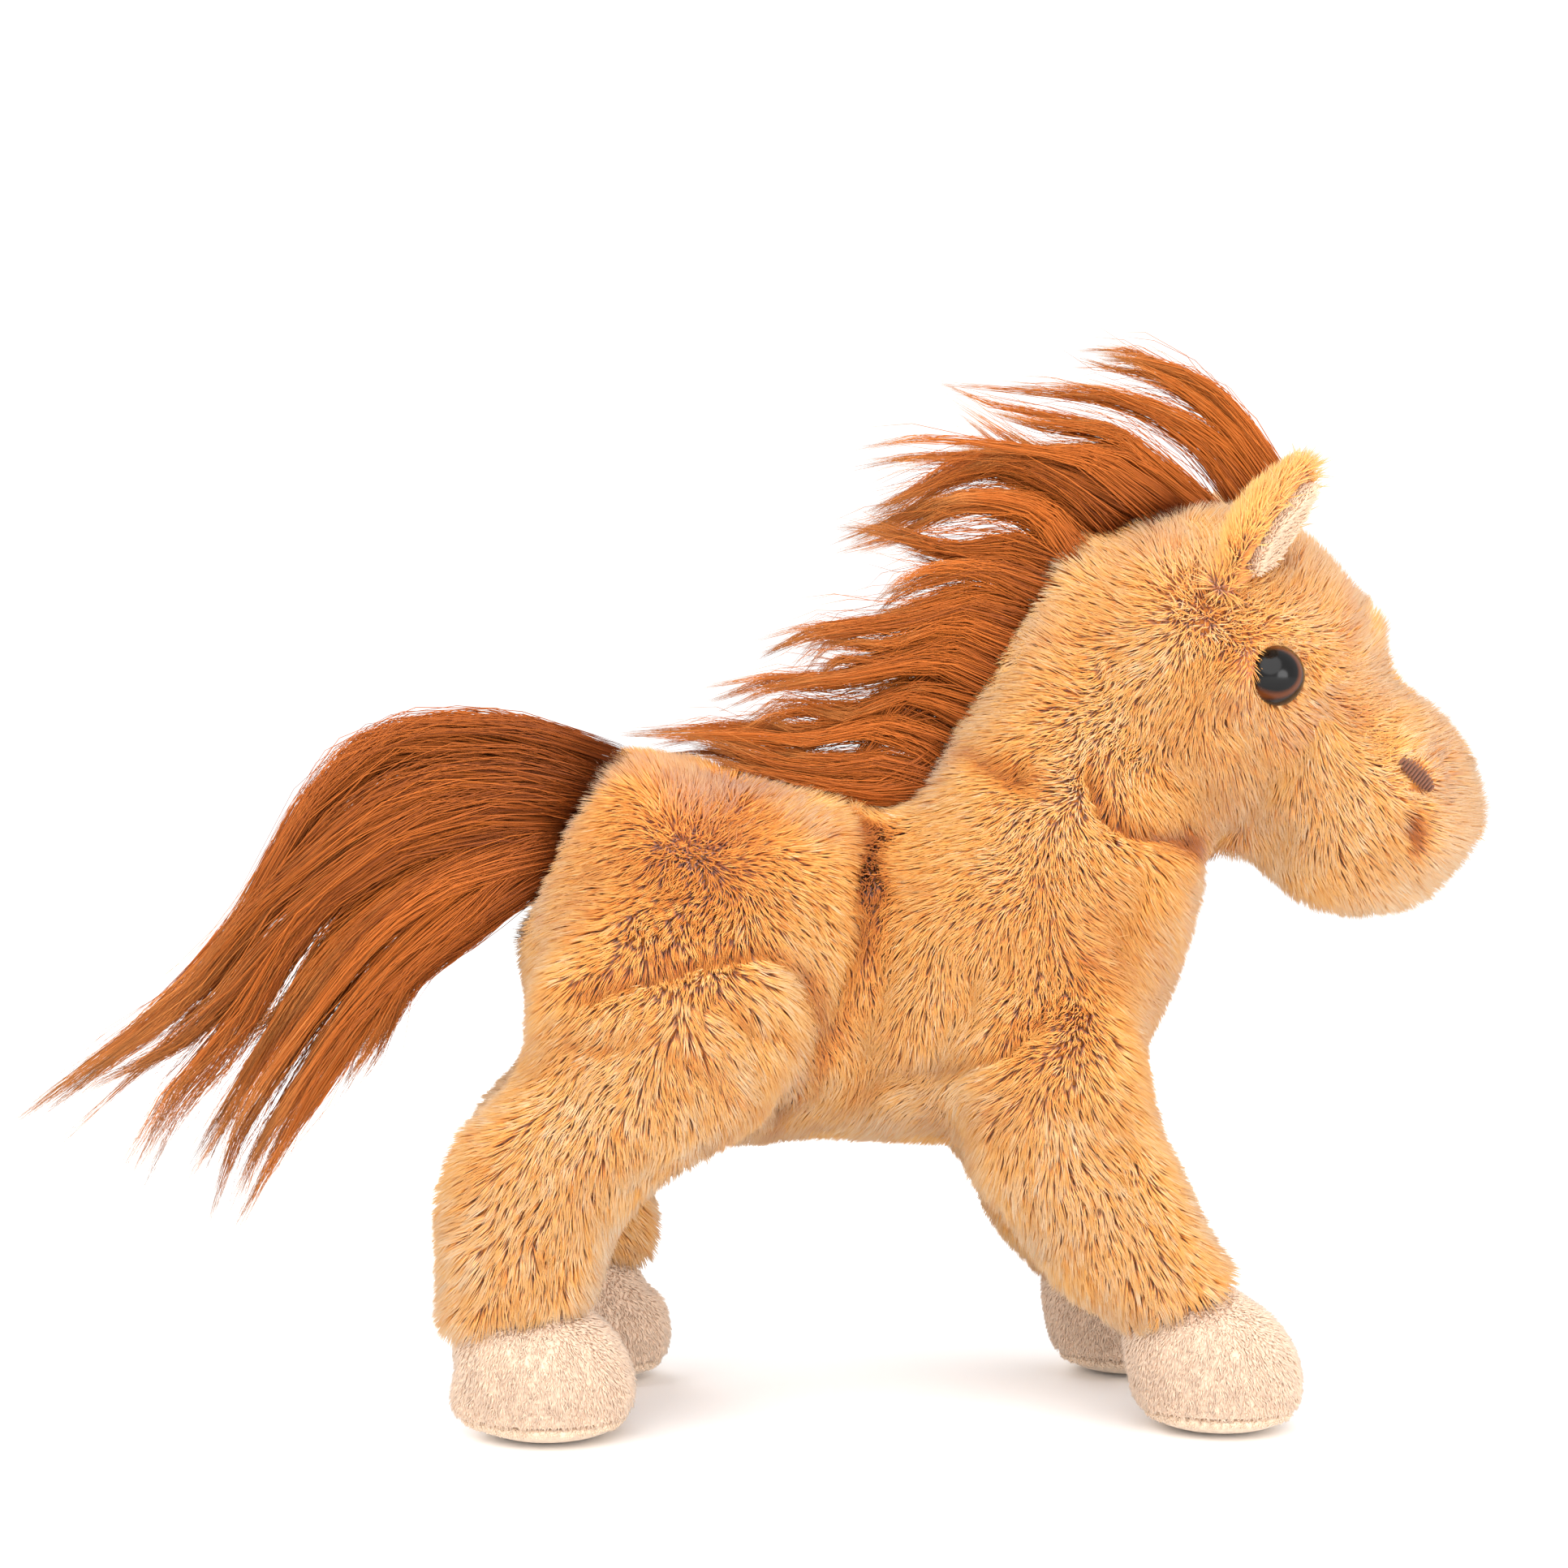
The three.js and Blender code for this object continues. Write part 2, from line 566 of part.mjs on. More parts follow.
// The ear in its own frame: z runs up the ear, y across it and x out of its open side.
function earFrame(side) {
  const slant = THREE.MathUtils.degToRad(EAR_SLANT);
  const tilt = THREE.MathUtils.degToRad(EAR_FORWARD_TILT);
  const forwardShare = EAR_FORWARD / HEAD_RADIUS;
  const acrossShare = EAR_SPACING / HEAD_WIDTH;
  const rise = HEAD_RADIUS * Math.sqrt(1 - forwardShare ** 2 - acrossShare ** 2);
  const place = new THREE.Vector3(EAR_FORWARD, (side * EAR_SPACING) / 2, rise).add(HEAD_CENTRE);
  const root = new THREE.Vector3(0, side * Math.cos(slant), -Math.sin(slant));
  const blade = new THREE.Vector3(0, side * Math.sin(slant), Math.cos(slant))
    .multiplyScalar(Math.cos(tilt))
    .addScaledVector(new THREE.Vector3(1, 0, 0), Math.sin(tilt));
  const turn = THREE.MathUtils.degToRad(EAR_TURN) * side;
  const across = root.clone().multiplyScalar(side).applyAxisAngle(blade, turn);
  const open = new THREE.Vector3().crossVectors(across, blade);
  return { place, across, blade, open };
}

function earBlade(widthShare, depthShare, forward, length) {
  const rings = smoothRows(EAR_SHARES, ROW_STEPS).map(([height, width, depth]) => ({
    centre: new THREE.Vector3(forward, 0, height * length),
    up: new THREE.Vector3((depth * depthShare * EAR_DEPTH) / 2, 0, 0),
    across: new THREE.Vector3(0, (width * widthShare * EAR_WIDTH) / 2, 0),
  }));
  const base = new THREE.Vector3(forward, 0, 0);
  return loft(base, rings, new THREE.Vector3(forward, 0, length), SMALL_SIDES);
}

function earPieces() {
  const forward = (EAR_CUP_FORWARD_SHARE * EAR_DEPTH) / 2;
  const cupLift = EAR_ROOT_RADIUS;
  const cup = (shrink, out) => {
    const share = EAR_CUP_SHARE - (2 * shrink) / EAR_WIDTH;
    const length = EAR_CUP_SHARE * EAR_LENGTH + cupLift - 2 * shrink;
    return earBlade(share, share, forward + out, length).translate([0, 0, cupLift + shrink]);
  };
  const bead = rod(EAR_CUP_SHARE * EAR_WIDTH, EAR_ROOT_RADIUS, SMALL_SIDES)
    .translate([0, 0, (-EAR_CUP_SHARE * EAR_WIDTH) / 2])
    .rotate([90, 0, 0]);
  const shell = earBlade(1, 1, 0, EAR_LENGTH).add(bead).subtract(cup(0, 0));
  const lining = cup(SEAT_GAP, 0).subtract(cup(SEAT_GAP, LINING_THICKNESS));
  return { shell, lining };
}

const atEar = (solid, ear) => oriented(solid, ear.place, ear.open, ear.across, ear.blade);

// The room in the head for the ear's rolled edge.
function earGroove(ear) {
  const groove = rod(EAR_WIDTH, EAR_ROOT_RADIUS + SWING_GAP, SMALL_SIDES)
    .translate([0, 0, -EAR_WIDTH / 2])
    .rotate([90, 0, 0]);
  return atEar(groove, ear);
}

// The eye in its own frame: z runs out of the head, the rim's back lies on z = 0.
function eyeSolid(grow) {
  const radius = EYE_DIAMETER / 2;
  const ball = (radius ** 2 + EYE_CROWN ** 2) / (2 * EYE_CROWN);
  const dome = Manifold.sphere(ball + grow, BALL_SIDES)
    .translate([0, 0, EYE_RIM + EYE_CROWN - ball])
    .trimByPlane([0, 0, 1], EYE_RIM);
  const rim = rod(EYE_RIM + grow, radius + grow, BALL_SIDES).translate([0, 0, -grow]);
  const shank = rod(SHANK_LENGTH + grow, SHANK_DIAMETER / 2 + grow, SMALL_SIDES)
    .translate([0, 0, -SHANK_LENGTH - grow]);
  return Manifold.union([dome, rim, shank]);
}

function washerSolid(grow) {
  return rod(WASHER_THICKNESS + 2 * grow, WASHER_DIAMETER / 2 + grow, BALL_SIDES)
    .translate([0, 0, -WASHER_DEPTH - WASHER_THICKNESS - grow]);
}

// The bore of the washer, a seat's gap around the shank.
function shankBore() {
  return rod(SHANK_LENGTH, SHANK_DIAMETER / 2 + SEAT_GAP, SMALL_SIDES).translate([0, 0, -SHANK_LENGTH]);
}

// The hollow that the thread draws around the eye, open to the outside.
function eyeHollow() {
  const inner = EYE_DIAMETER / 2 + SEAT_GAP;
  const outer = EYE_DIAMETER / 2 + EYE_HOLLOW_FLARE_SHARE * EYE_SINK;
  return Manifold.cylinder(EYE_HOLLOW_HEIGHT_SHARE * EYE_SINK, inner, outer, BALL_SIDES);
}

function eyeFrame(side) {
  const turn = THREE.MathUtils.degToRad(EYE_TURN);
  const { place } = onBall({
    centre: HEAD_CENTRE, radius: HEAD_RADIUS, forward: EYE_FORWARD, rise: -EYE_DROP, side, sink: EYE_SINK,
  });
  const out = new THREE.Vector3(Math.sin(turn), side * Math.cos(turn), 0);
  const xAxis = new THREE.Vector3().crossVectors(UP, out);
  return { place, xAxis, yAxis: UP.clone(), out };
}

const atEye = (solid, frame) => oriented(solid, frame.place, frame.xAxis, frame.yAxis, frame.out);

// A raised bar of stitches that follows the muzzle.
function nostrilSolid(side, grow) {
  const { place, out } = onBall({
    centre: MUZZLE_CENTRE,
    radius: MUZZLE_RADIUS,
    forward: NOSTRIL_FORWARD,
    rise: NOSTRIL_RISE,
    side,
    sink: NOSTRIL_THICKNESS / 2,
  });
  const slant = THREE.MathUtils.degToRad(NOSTRIL_SLANT);
  const along = new THREE.Vector3(Math.cos(slant), 0, -Math.sin(slant));
  along.addScaledVector(out, -along.dot(out)).normalize();
  const wide = new THREE.Vector3().crossVectors(out, along);
  const bar = Manifold.sphere(1, SMALL_SIDES).scale([
    NOSTRIL_LENGTH / 2 + grow, NOSTRIL_WIDTH / 2 + grow, NOSTRIL_THICKNESS / 2 + grow,
  ]);
  return oriented(bar, place, along, wide, out);
}

// The largest of the bodies that a cut leaves.
function largest(solid) {
  const bodies = solid.decompose();
  return bodies.reduce((best, body) => (body.volume() > best.volume() ? body : best));
}

// A named mesh of a solid, in a group that stands at a place.
function addPiece(group, name, solid, material) {
  const { vertProperties, triVerts, numProp } = largest(solid.simplify(FACET_SLACK))
    .translate(group.position.clone().negate().toArray())
    .getMesh();
  const places = new Float32Array(triVerts.length * 3);
  triVerts.forEach((vertex, corner) => {
    const first = vertex * numProp;
    places.set(vertProperties.subarray(first, first + 3), corner * 3);
  });
  const geometry = new THREE.BufferGeometry();
  geometry.setAttribute('position', new THREE.BufferAttribute(places, 3));
  geometry.computeVertexNormals();
  const mesh = new THREE.Mesh(geometry, material);
  mesh.name = name;
  group.add(mesh);
}

const horse = new THREE.Group();
const groupAt = (place) => {
  const group = new THREE.Group();
  group.position.copy(place);
  horse.add(group);
  return group;
};

const SIDES = [['right', -1], ['left', 1]];
const head = headForm(0);
const room = headRoom();
const bodyRoom = bodyForm(SWING_GAP);

// Legs and hooves
const LEGS = [
  {
    end: 'hind', shares: HIND_LEG_SHARES, place: HIP, radius: THIGH_RADIUS,
    hoofX: HIP.x - HIND_HOOF_BACK, stride: HIND_STRIDE,
  },
  {
    end: 'front', shares: FORE_LEG_SHARES, place: SHOULDER, radius: SHOULDER_RADIUS,
    hoofX: SHOULDER.x + FORE_HOOF_FORWARD, stride: FORE_STRIDE,
  },
];
const legHollows = [];
for (const leg of LEGS) {
  const trunk = swept(bodyRoom, leg.place, LEG_LIMITS);
  for (const [word, side] of SIDES) {
    const stride = side > 0 ? leg.stride : 0;
    const hoofX = leg.hoofX + stride;
    const root = legRoot(leg.place, leg.radius, side, 0);
    const limb = legForm(leg.shares, leg.place, side, stride).subtract(trunk);
    const hoofRoom = hoofForm(hoofX, side, SEAT_GAP);
    const foot = hoofForm(hoofX, side, 0);
    const hoof = foot.trimByPlane([0, 0, 1], SOLE_HEIGHT + SEAT_GAP);
    const sole = foot.trimByPlane([0, 0, -1], -SOLE_HEIGHT);
    const group = groupAt(leg.place);
    addPiece(group, `${leg.end}_leg_${word}`, limb.add(root).subtract(hoofRoom), TAN_PILE);
    addPiece(group, `${leg.end}_hoof_${word}`, hoof, HOOF_PILE);
    addPiece(group, `${leg.end}_sole_${word}`, sole, SOLE_PILE);
    legHollows.push(legRoot(leg.place, leg.radius, side, SWING_GAP));
  }
}

// Body and neck, with room for the head, the leg roots and the tail's root
const bodyGroup = groupAt(new THREE.Vector3());
const tailRoom = tailBall(clearOf(TAIL_ROOT_RADIUS, BALL_SIDES));
const bodyCuts = Manifold.union([room, tailRoom, ...legHollows]);
addPiece(bodyGroup, 'body', bodyForm(0).subtract(bodyCuts), TAN_PILE);
addPiece(bodyGroup, 'mane', maneForm().subtract(Manifold.union([bodyForm(SEAT_GAP), room])), HAIR);

// Tail
const tailHair = tailPlume().subtract(swept(bodyRoom, TAIL_ROOT, TAIL_LIMITS));
addPiece(groupAt(TAIL_ROOT), 'tail', tailBall(TAIL_ROOT_RADIUS).add(largest(tailHair)), HAIR);

// Head, with its eyes, nostrils, ears and forelock
const headGroup = groupAt(HEAD_CENTRE);
const headCuts = [];
for (const [word, side] of SIDES) {
  const eye = eyeFrame(side);
  const washer = washerSolid(0).subtract(shankBore());
  addPiece(headGroup, `eye_${word}`, atEye(eyeSolid(0), eye), EYE_PLASTIC);
  addPiece(headGroup, `eye_washer_${word}`, atEye(washer, eye), WASHER_PLASTIC);
  addPiece(headGroup, `nostril_${word}`, nostrilSolid(side, 0), STITCHES);
  headCuts.push(atEye(eyeSolid(SEAT_GAP), eye), atEye(washerSolid(SEAT_GAP), eye), atEye(eyeHollow(), eye));
  headCuts.push(nostrilSolid(side, SEAT_GAP));
  const ear = earFrame(side);
  headCuts.push(earGroove(ear));
  const { shell, lining } = earPieces();
  const earGroup = groupAt(ear.place);
  addPiece(earGroup, `ear_${word}`, atEar(shell, ear), TAN_PILE);
  addPiece(earGroup, `ear_lining_${word}`, atEar(lining, ear), LINING_PILE);
}
addPiece(headGroup, 'head', head.subtract(Manifold.union(headCuts)), TAN_PILE);
addPiece(headGroup, 'forelock', forelockForm().subtract(headForm(SEAT_GAP)), HAIR);

export default horse;
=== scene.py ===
"""Looks of a small standing plush horse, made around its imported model."""

import collections
import functools
import math

import bmesh
import bpy
import numpy as np
from mathutils import Matrix, Vector
from mathutils.bvhtree import BVHTree
from mathutils.kdtree import KDTree


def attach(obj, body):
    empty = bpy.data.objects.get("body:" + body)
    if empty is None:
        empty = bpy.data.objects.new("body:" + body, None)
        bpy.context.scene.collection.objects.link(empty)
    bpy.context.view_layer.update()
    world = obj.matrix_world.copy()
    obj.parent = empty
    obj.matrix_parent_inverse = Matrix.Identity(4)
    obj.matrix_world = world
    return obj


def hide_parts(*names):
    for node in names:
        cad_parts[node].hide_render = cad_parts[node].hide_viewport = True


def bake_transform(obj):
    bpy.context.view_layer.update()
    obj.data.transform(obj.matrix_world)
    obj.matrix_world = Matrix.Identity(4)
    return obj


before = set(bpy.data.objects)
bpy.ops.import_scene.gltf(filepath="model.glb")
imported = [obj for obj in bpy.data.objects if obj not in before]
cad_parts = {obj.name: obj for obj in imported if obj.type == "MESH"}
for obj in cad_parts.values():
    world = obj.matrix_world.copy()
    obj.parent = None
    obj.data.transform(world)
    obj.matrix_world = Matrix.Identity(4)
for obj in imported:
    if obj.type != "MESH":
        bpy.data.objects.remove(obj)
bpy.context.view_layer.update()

bl_info = {
    "name": "Plush horse",
    "version": (1, 0, 0),
    "blender": (4, 5, 0),
    "location": "3D View > Sidebar > Plush Horse",
    "description": "Sews the pile, the long hair, the eyes and the hooves of a plush horse",
    "category": "Object",
}

MM = 0.001  # every length below is in millimetres, unless it says metres
SIDES = {"right": -1, "left": 1}
LEGS = [f"{end}_leg_{side}" for end in ("hind", "front") for side in SIDES]

# The camera stands where the photograph was taken from, and places read from it are pixels.
PHOTO_SIZE = 1932
PIXELS_PER_MM = 6
SENSOR_WIDTH = 36
CAMERA_TARGET = (7.5, 0, 127)
CAMERA_DISTANCE = 600
CAMERA_TURN = 3.5  # degrees from square on to the side
FLOOR_REACH = 40  # metres

# Lights: name, place and size in metres, and share of the key light's power.
LIGHTS = [
    ("key", (-0.35, -1.0, 1.0), 2.0, 1.0),
    ("front", (0.6, -1.25, 0.14), 0.9, 0.5),
    ("back", (-0.4, 1.2, 0.9), 0.9, 0.25),
]

# The skin below the pile.
SKIN_GRAIN = 2.4  # edge of the voxels that it is rebuilt from
FABRIC = 1.2  # thickness of a panel
JOIN_PASSES = 34  # how often a leg's or the jaw's join is evened out
STUFFING_FRAMES = 12
STUFFING_PRESSURE = 4
STUFFING_MOST = 1.2  # the most that the stuffing moves the skin
CUFF_TOP, CUFF_HEIGHT = 34, 14  # where the legs' pile hangs over the hooves
CUFF_LIFT = 3  # how far a cuff's lower edge is turned up
CUFF_WALL = 6  # height of its thin lower wall
LEG_CORE = 6  # radius inside which a leg has no clear way out

# Ears, eyes and nostrils, left side.
EAR_ROOT = (101.56, 21, 174.85)
EAR_BLADE = (0.342, 0.604, 0.7198)
EAR_OPEN = (0.7198, 0.324, -0.6139)
EAR_GROWTH = 1.12  # a soft ear is a little larger than its solid
EAR_SINK = (-4.5, 1.5, -6)  # how far it settles into the pile round it
EYE_PLACE = (103.65, 26.14, 148.49)
EYE_OUT = (0.407, 0.914, 0)
EYE_BARE = 1.1  # the pile hangs over the eye's rear rim by this
PUPIL_BACK, PUPIL_UP = 2.6, 0.9  # the pupil's place, off the middle of the dome
NOSTRIL_PLACE = (134.02, 19.14, 128.86)
NOSTRIL_ALONG = (0.74, -0.07, -0.67)
NOSTRIL_OUT = (0.236, 0.962, 0.141)
NOSTRIL_HALF, STITCH_HALF = 4.5, 2.15  # half the length of a nostril and of its longest stitch

# The short pile of the hooves.
HOOF_PILE_DENSITY = 3.6
HOOF_SEAM = (2.5, 8)  # heights between which the edge of hoof and sole stays level

# The long hair.
HAIR_DEPTH = 9  # how deep the roots lie in the skin
HAIR_LEVELS = 7  # points along a strand
LOCK_LEVELS = 24  # points along the middle of a lock
WISPS = 5  # in one lock
WISP_SPLIT = 1.6  # how far the ends of wisps part
LOOSE_SHARE = 0.13  # of the strands, which fly free of their wisps

# How the pile is combed, seen from the side: place, and degrees above forward.
COMBING = [
    (-34, 115, 205), (-12, 132, 120), (-31, 136, 150), (0, 128, 50), (8, 116, -25), (-12, 102, -95),
    (-38, 98, 235), (-20, 85, -100), (0, 90, -75), (5, 75, -70), (-35, 75, 230), (-15, 62, -100),
    (-45, 50, 250), (-40, 30, -92), (-25, 30, -90), (14, 110, -90), (14, 85, -85), (28, 105, -100),
    (28, 85, -95), (40, 115, -110), (38, 95, -100), (20, 57, 200), (45, 125, 220), (60, 115, -110),
    (80, 105, -60), (85, 90, -55), (48, 150, 215), (60, 165, 190), (62, 150, 195), (65, 168, 140),
    (78, 156, 212), (84, 147, 245), (76, 166, 165), (88, 175, 110), (99, 168, 60), (100, 158, -50),
    (91, 152, -95), (78, 135, -100), (90, 130, -88), (105, 130, -85), (105, 138, -80),
    (115, 148, -45), (118, 135, -65), (115, 165, 70), (110, 175, 85), (122, 155, 60), (128, 142, 60),
    (140, 135, 40), (148, 125, 10), (150, 115, -15), (145, 105, -35), (130, 100, -70), (110, 104, -60),
    (120, 118, -85), (130, 112, -75), (138, 112, -40), (138, 133, 50), (143, 125, 0), (125, 128, -70),
    (138, 117, -5), (85, 112, -100), (55, 75, -115), (65, 70, -95), (75, 65, -65), (80, 55, -50),
    (60, 50, -100), (70, 40, -75), (85, 35, -50), (72, 28, -80), (90, 28, -55),
]
COMB_REACH = 9  # how far a guide counts
SWAY_SEED = 5  # one drift of the nap for all the pieces

# Seams and folds that draw the skin in: points from the side, depth, half width and how dark the painted
# shade in them is.
CREASES = [
    ([(22.6, 126), (20.7, 109.1), (20, 93.4), (16.5, 82.4), (13.5, 76)], 4.2, 2.8, 0.25),
    ([(-33, 88.1), (-20, 91.8), (-6.2, 95.3), (1.8, 96.5), (8.9, 90.3)], 2.2, 1.5, 0.3),
    ([(28, 128), (27, 110), (25, 92), (22, 76)], 3.2, 6.5, 0.2),
    ([(8.9, 92), (12.8, 82), (11.5, 70), (5.2, 60)], 3, 2.4, 0.35),
    ([(-33, 88), (-20, 91.8), (-6.2, 95.3), (1.8, 96.5)], 0.9, 2.2, 0.12),
    ([(-33, 79), (-27, 78), (-22, 80)], 1.6, 1.6, 0.3),
    ([(-18, 80), (-12, 75), (-8, 70)], 1.3, 1.5, 0.22),
    ([(-6, 85), (0, 80), (5, 80)], 1.4, 1.6, 0.25),
    ([(22.3, 67.5), (34.8, 71.4), (44.2, 75.8), (56.3, 81.9)], 1.8, 2.2, 0.22),
    ([(-20.9, 49.4), (-13.9, 52.6), (-7.6, 56)], 2, 2.2, 0.25),
    ([(67.8, 129.9), (69.2, 122), (76.8, 118.3), (88.2, 117.6)], 3, 2.4, 0.5),
    ([(132.6, 120.6), (133.4, 116.4)], 3.6, 1.6, 1.1),
    ([(114.9, 145.2), (121.2, 139.7), (127.4, 132.7)], 1.2, 2, 0.15),
    ([(46, 134), (52, 130), (58, 127)], 1.2, 3, 0.35),
]

# Where a leg runs smoothly into the trunk, left side: place and reach.
JOINS = [
    ((78, 32, 84), 17),
    ((62, 36, 92), 16),
    ((84, 30, 70), 14),
    ((66, 34, 76), 14),
    ((-8, 38, 106), 14),
    ((-30, 36, 104), 14),
    ((-16, 40, 96), 16),
    ((-49, 30, 70), 11),
]

# Where the stuffing stands out further or less than in the model: place, reach and push.
SWELLS = [
    ((-27, 29, 33), 17, (8, 0, 0)),
    ((53, 29, 28), 13, (4, 0, 0)),
    ((97.3, 27.5, 149), 9, (0.5, 3.4, 0)),
    ((97.3, -27.5, 149), 9, (0.5, -3.4, 0)),
    ((-22, 29, 27), 13, (0, 0, -6)),
    ((-3, 0, 129), 17, (0, 0, 2.4)),
    ((16, 0, 127), 15, (0, 0, 2.6)),
    ((46, 30, 46), 19, (6, 0, 0.5)),
    ((131, 0, 159), 14, (4, 0, 0.6)),
    ((99, 0, 113), 15, (0, 0, -2.5)),
    ((25, 0, 54), 24, (0, 0, 1)),
    ((-54, -30, 6), 10, (-2.8, 0, 0)),
    ((122, 0, 175), 9, (-0.8, 0, -1)),
    ((152, 0, 119), 17, (2.2, 0, 0.2)),
    ((142, 0, 101), 11, (0.6, 0, -0.9)),
    ((145, 0, 140), 8, (-0.8, 0, -0.8)),
    ((98, -30, 37), 14, (2, 0, 0.5)),
    ((93, 0, 88), 18, (-0.7, 0, 0)),
    ((-2, -30, 112), 22, (0, -1.6, 0)),
    ((46, -30, 104), 20, (0, -1.4, 0)),
    ((-2, 30, 112), 22, (0, 1.6, 0)),
    ((46, 30, 104), 20, (0, 1.4, 0)),
]

# Places where the pile parts and its dark roots show: place, radius and how dark the painted shade there is.
PARTINGS = [
    ((-8, 115), 10, 0.15),
    ((23.5, 117), 5.2, 0.55),
    ((23.5, 108), 5, 0.5),
    ((21.5, 99), 4, 0.25),
    ((86, 117.5), 3.5, 0.7),
    ((91.3, 164.1), 5, 0.2),
    ((54, 129.5), 4.5, 0.3),
    ((121, 142), 4, 0.2),
]

# Where the pile is lighter or darker than the middle tone: place, reach and change.
REGION_TONES = {
    "rump": ((-15, 115), (28, 24), -0.31),
    # Painted shade: the belly is darker under the trunk.
    "belly_shade": ((28, 62), (22, 14), -0.06),
    "muzzle": ((132, 120), (22, 20), 0.04),
    "chest": ((75, 100), (30, 26), -0.1),
}

# The long hair was read in enlarged parts of the photograph. Each part is READ_WIDTH wide, and
# is given by its left, top and width in the photograph.
READ_WIDTH = 1568
FORELOCK_PART = (1050, 420, 800)
MANE_PART = (740, 420, 680)
TAIL_PART = (0, 860, 800)

# Locks of the long hair: their share of the hair, and places in their part, from root to tip.
FORELOCK_LOCKS = [
    (1.3, [(1020, 290), (940, 180), (850, 100), (720, 45), (540, 12)]),
    (1.2, [(1000, 300), (930, 200), (820, 120), (700, 75), (535, 45)]),
    (1, [(960, 340), (900, 260), (800, 190), (660, 130), (500, 100), (190, 85)]),
    (1, [(830, 390), (720, 290), (640, 215), (480, 185), (330, 150), (200, 90)]),
    (0.8, [(830, 390), (700, 290), (600, 260), (460, 270), (360, 220), (230, 105)]),
]
MANE_LOCKS = [
    (1, [(1540, 440), (1400, 340), (1250, 325), (1000, 320), (850, 325), (700, 350)]),
    (1.3, [(1400, 480), (1300, 420), (1150, 350), (1000, 380), (880, 460), (740, 545)]),
    (1.3, [(1300, 560), (1250, 480), (1100, 450), (950, 470), (830, 530), (650, 610)]),
    (0.9, [(1240, 620), (1150, 590), (1000, 600), (860, 555), (650, 520)]),
    (1, [(1190, 680), (1080, 640), (950, 650), (820, 680), (740, 740)]),
    (1.2, [(1140, 780), (1030, 740), (900, 780), (760, 810), (600, 830), (420, 885)]),
    (1.1, [(1110, 870), (980, 820), (820, 880), (650, 860), (545, 960)]),
    (1.1, [(1080, 950), (950, 900), (800, 930), (650, 970), (500, 975), (290, 1050)]),
    (1.1, [(1040, 1030), (880, 990), (700, 1060), (560, 1020), (430, 1090), (330, 1150)]),
    (1.2, [(960, 1150), (850, 1090), (700, 1090), (560, 1130), (400, 1100), (40, 1125)]),
    (1.2, [(900, 1240), (780, 1200), (640, 1210), (450, 1180), (300, 1130), (130, 1100)]),
    (1.1, [(909, 1301), (805, 1298), (680, 1273), (542, 1240), (404, 1206), (265, 1170)]),
    (0.15, [(880, 1010), (830, 1050), (750, 1180), (600, 1290), (520, 1380), (430, 1510)]),
]
TAIL_LOCKS = [
    (1.2, [
        (1439, 110), (1250, 44), (1000, 43), (817, 131), (681, 350), (533, 612), (399, 762), (206, 902),
        (5, 1076),
    ]),
    (1.2, [
        (1400, 200), (1200, 150), (950, 200), (760, 360), (600, 500), (480, 680), (360, 800), (220, 890),
        (60, 1040),
    ]),
    (1.2, [
        (1382, 220), (1123, 231), (876, 384), (688, 549), (559, 713), (456, 802), (347, 878), (182, 949),
    ]),
    (1.3, [
        (1350, 280), (1150, 250), (900, 340), (720, 500), (620, 700), (540, 870), (400, 990), (330, 1210),
    ]),
    (1.2, [(1320, 350), (1100, 380), (880, 500), (740, 650), (650, 830), (570, 980), (435, 1210)]),
    (1.2, [(1290, 400), (1080, 450), (900, 580), (780, 740), (680, 880), (590, 1050), (512, 1305)]),
    (1, [(1260, 450), (1100, 560), (950, 680), (830, 820), (740, 960), (640, 1100), (553, 1310)]),
    (0.8, [(1250, 471), (1105, 584), (970, 708), (864, 849), (776, 990), (682, 1125), (576, 1290)]),
    (0.9, [(1240, 490), (1130, 600), (1020, 680), (960, 760), (900, 840), (825, 945)]),
    (0.6, [(1230, 510), (1160, 590), (1050, 650), (990, 740), (930, 830), (850, 900)]),
    (0.9, [(1300, 330), (1150, 400), (950, 520), (800, 640), (700, 760), (600, 820), (520, 860)]),
]


def sized(name, text, value):
    """A length in millimetres that a user may change, kept in metres."""
    return bpy.props.FloatProperty(
        name=name, description=text, default=value * MM, min=0, precision=5, unit="LENGTH", subtype="DISTANCE"
    )


def numbered(name, text, value, low=0.0):
    """A plain number that a user may change."""
    return bpy.props.FloatProperty(name=name, description=text, default=value, min=low)


def counted(name, text, value):
    """A whole number that a user may change."""
    return bpy.props.IntProperty(name=name, description=text, default=value, min=1)


def linear(colour):
    """A colour of 0 to 255 as the shader's own light values."""
    share = np.array(colour) / 255
    found = np.where(share <= 0.04045, share / 12.92, ((share + 0.055) / 1.055) ** 2.4)
    return tuple(float(value) for value in found)


def tinted(name, text, colour):
    """A colour that a user may change."""
    return bpy.props.FloatVectorProperty(
        name=name, description=text, default=linear(colour), subtype="COLOR", min=0, max=1, size=3
    )


class HorsePileSettings(bpy.types.PropertyGroup):
    """The tan pile of the body, head, legs and ears."""

    length: sized("Pile length", "How far a tuft runs along the skin", 4.4)
    rise: sized("Pile rise", "How far a tuft's tip stands off the skin", 4.2)
    density: numbered("Density", "Strands on a square millimetre", 4.15)
    clump_spacing: sized("Clump spacing", "Distance between tufts", 1.5)
    strand_width: sized("Strand width", "Width of a strand at its root", 0.52)
    # Painted shade: the pile in folds and partings darkens to this colour.
    crease_shade_colour: tinted("Crease colour", "Colour where folds show the roots", (190, 110, 46))
    # Painted shade: strands darken towards the backing to this colour, and the backing has it too.
    shaded_root_colour: tinted("Root colour", "Colour at the backing", (232, 150, 72))
    low_colour: tinted("Dark colour", "Colour of the darkest tufts", (232, 150, 64))
    middle_colour: tinted("Main colour", "Colour of most tufts", (250, 188, 104))
    high_colour: tinted("Light colour", "Colour of the lightest tufts", (255, 228, 192))


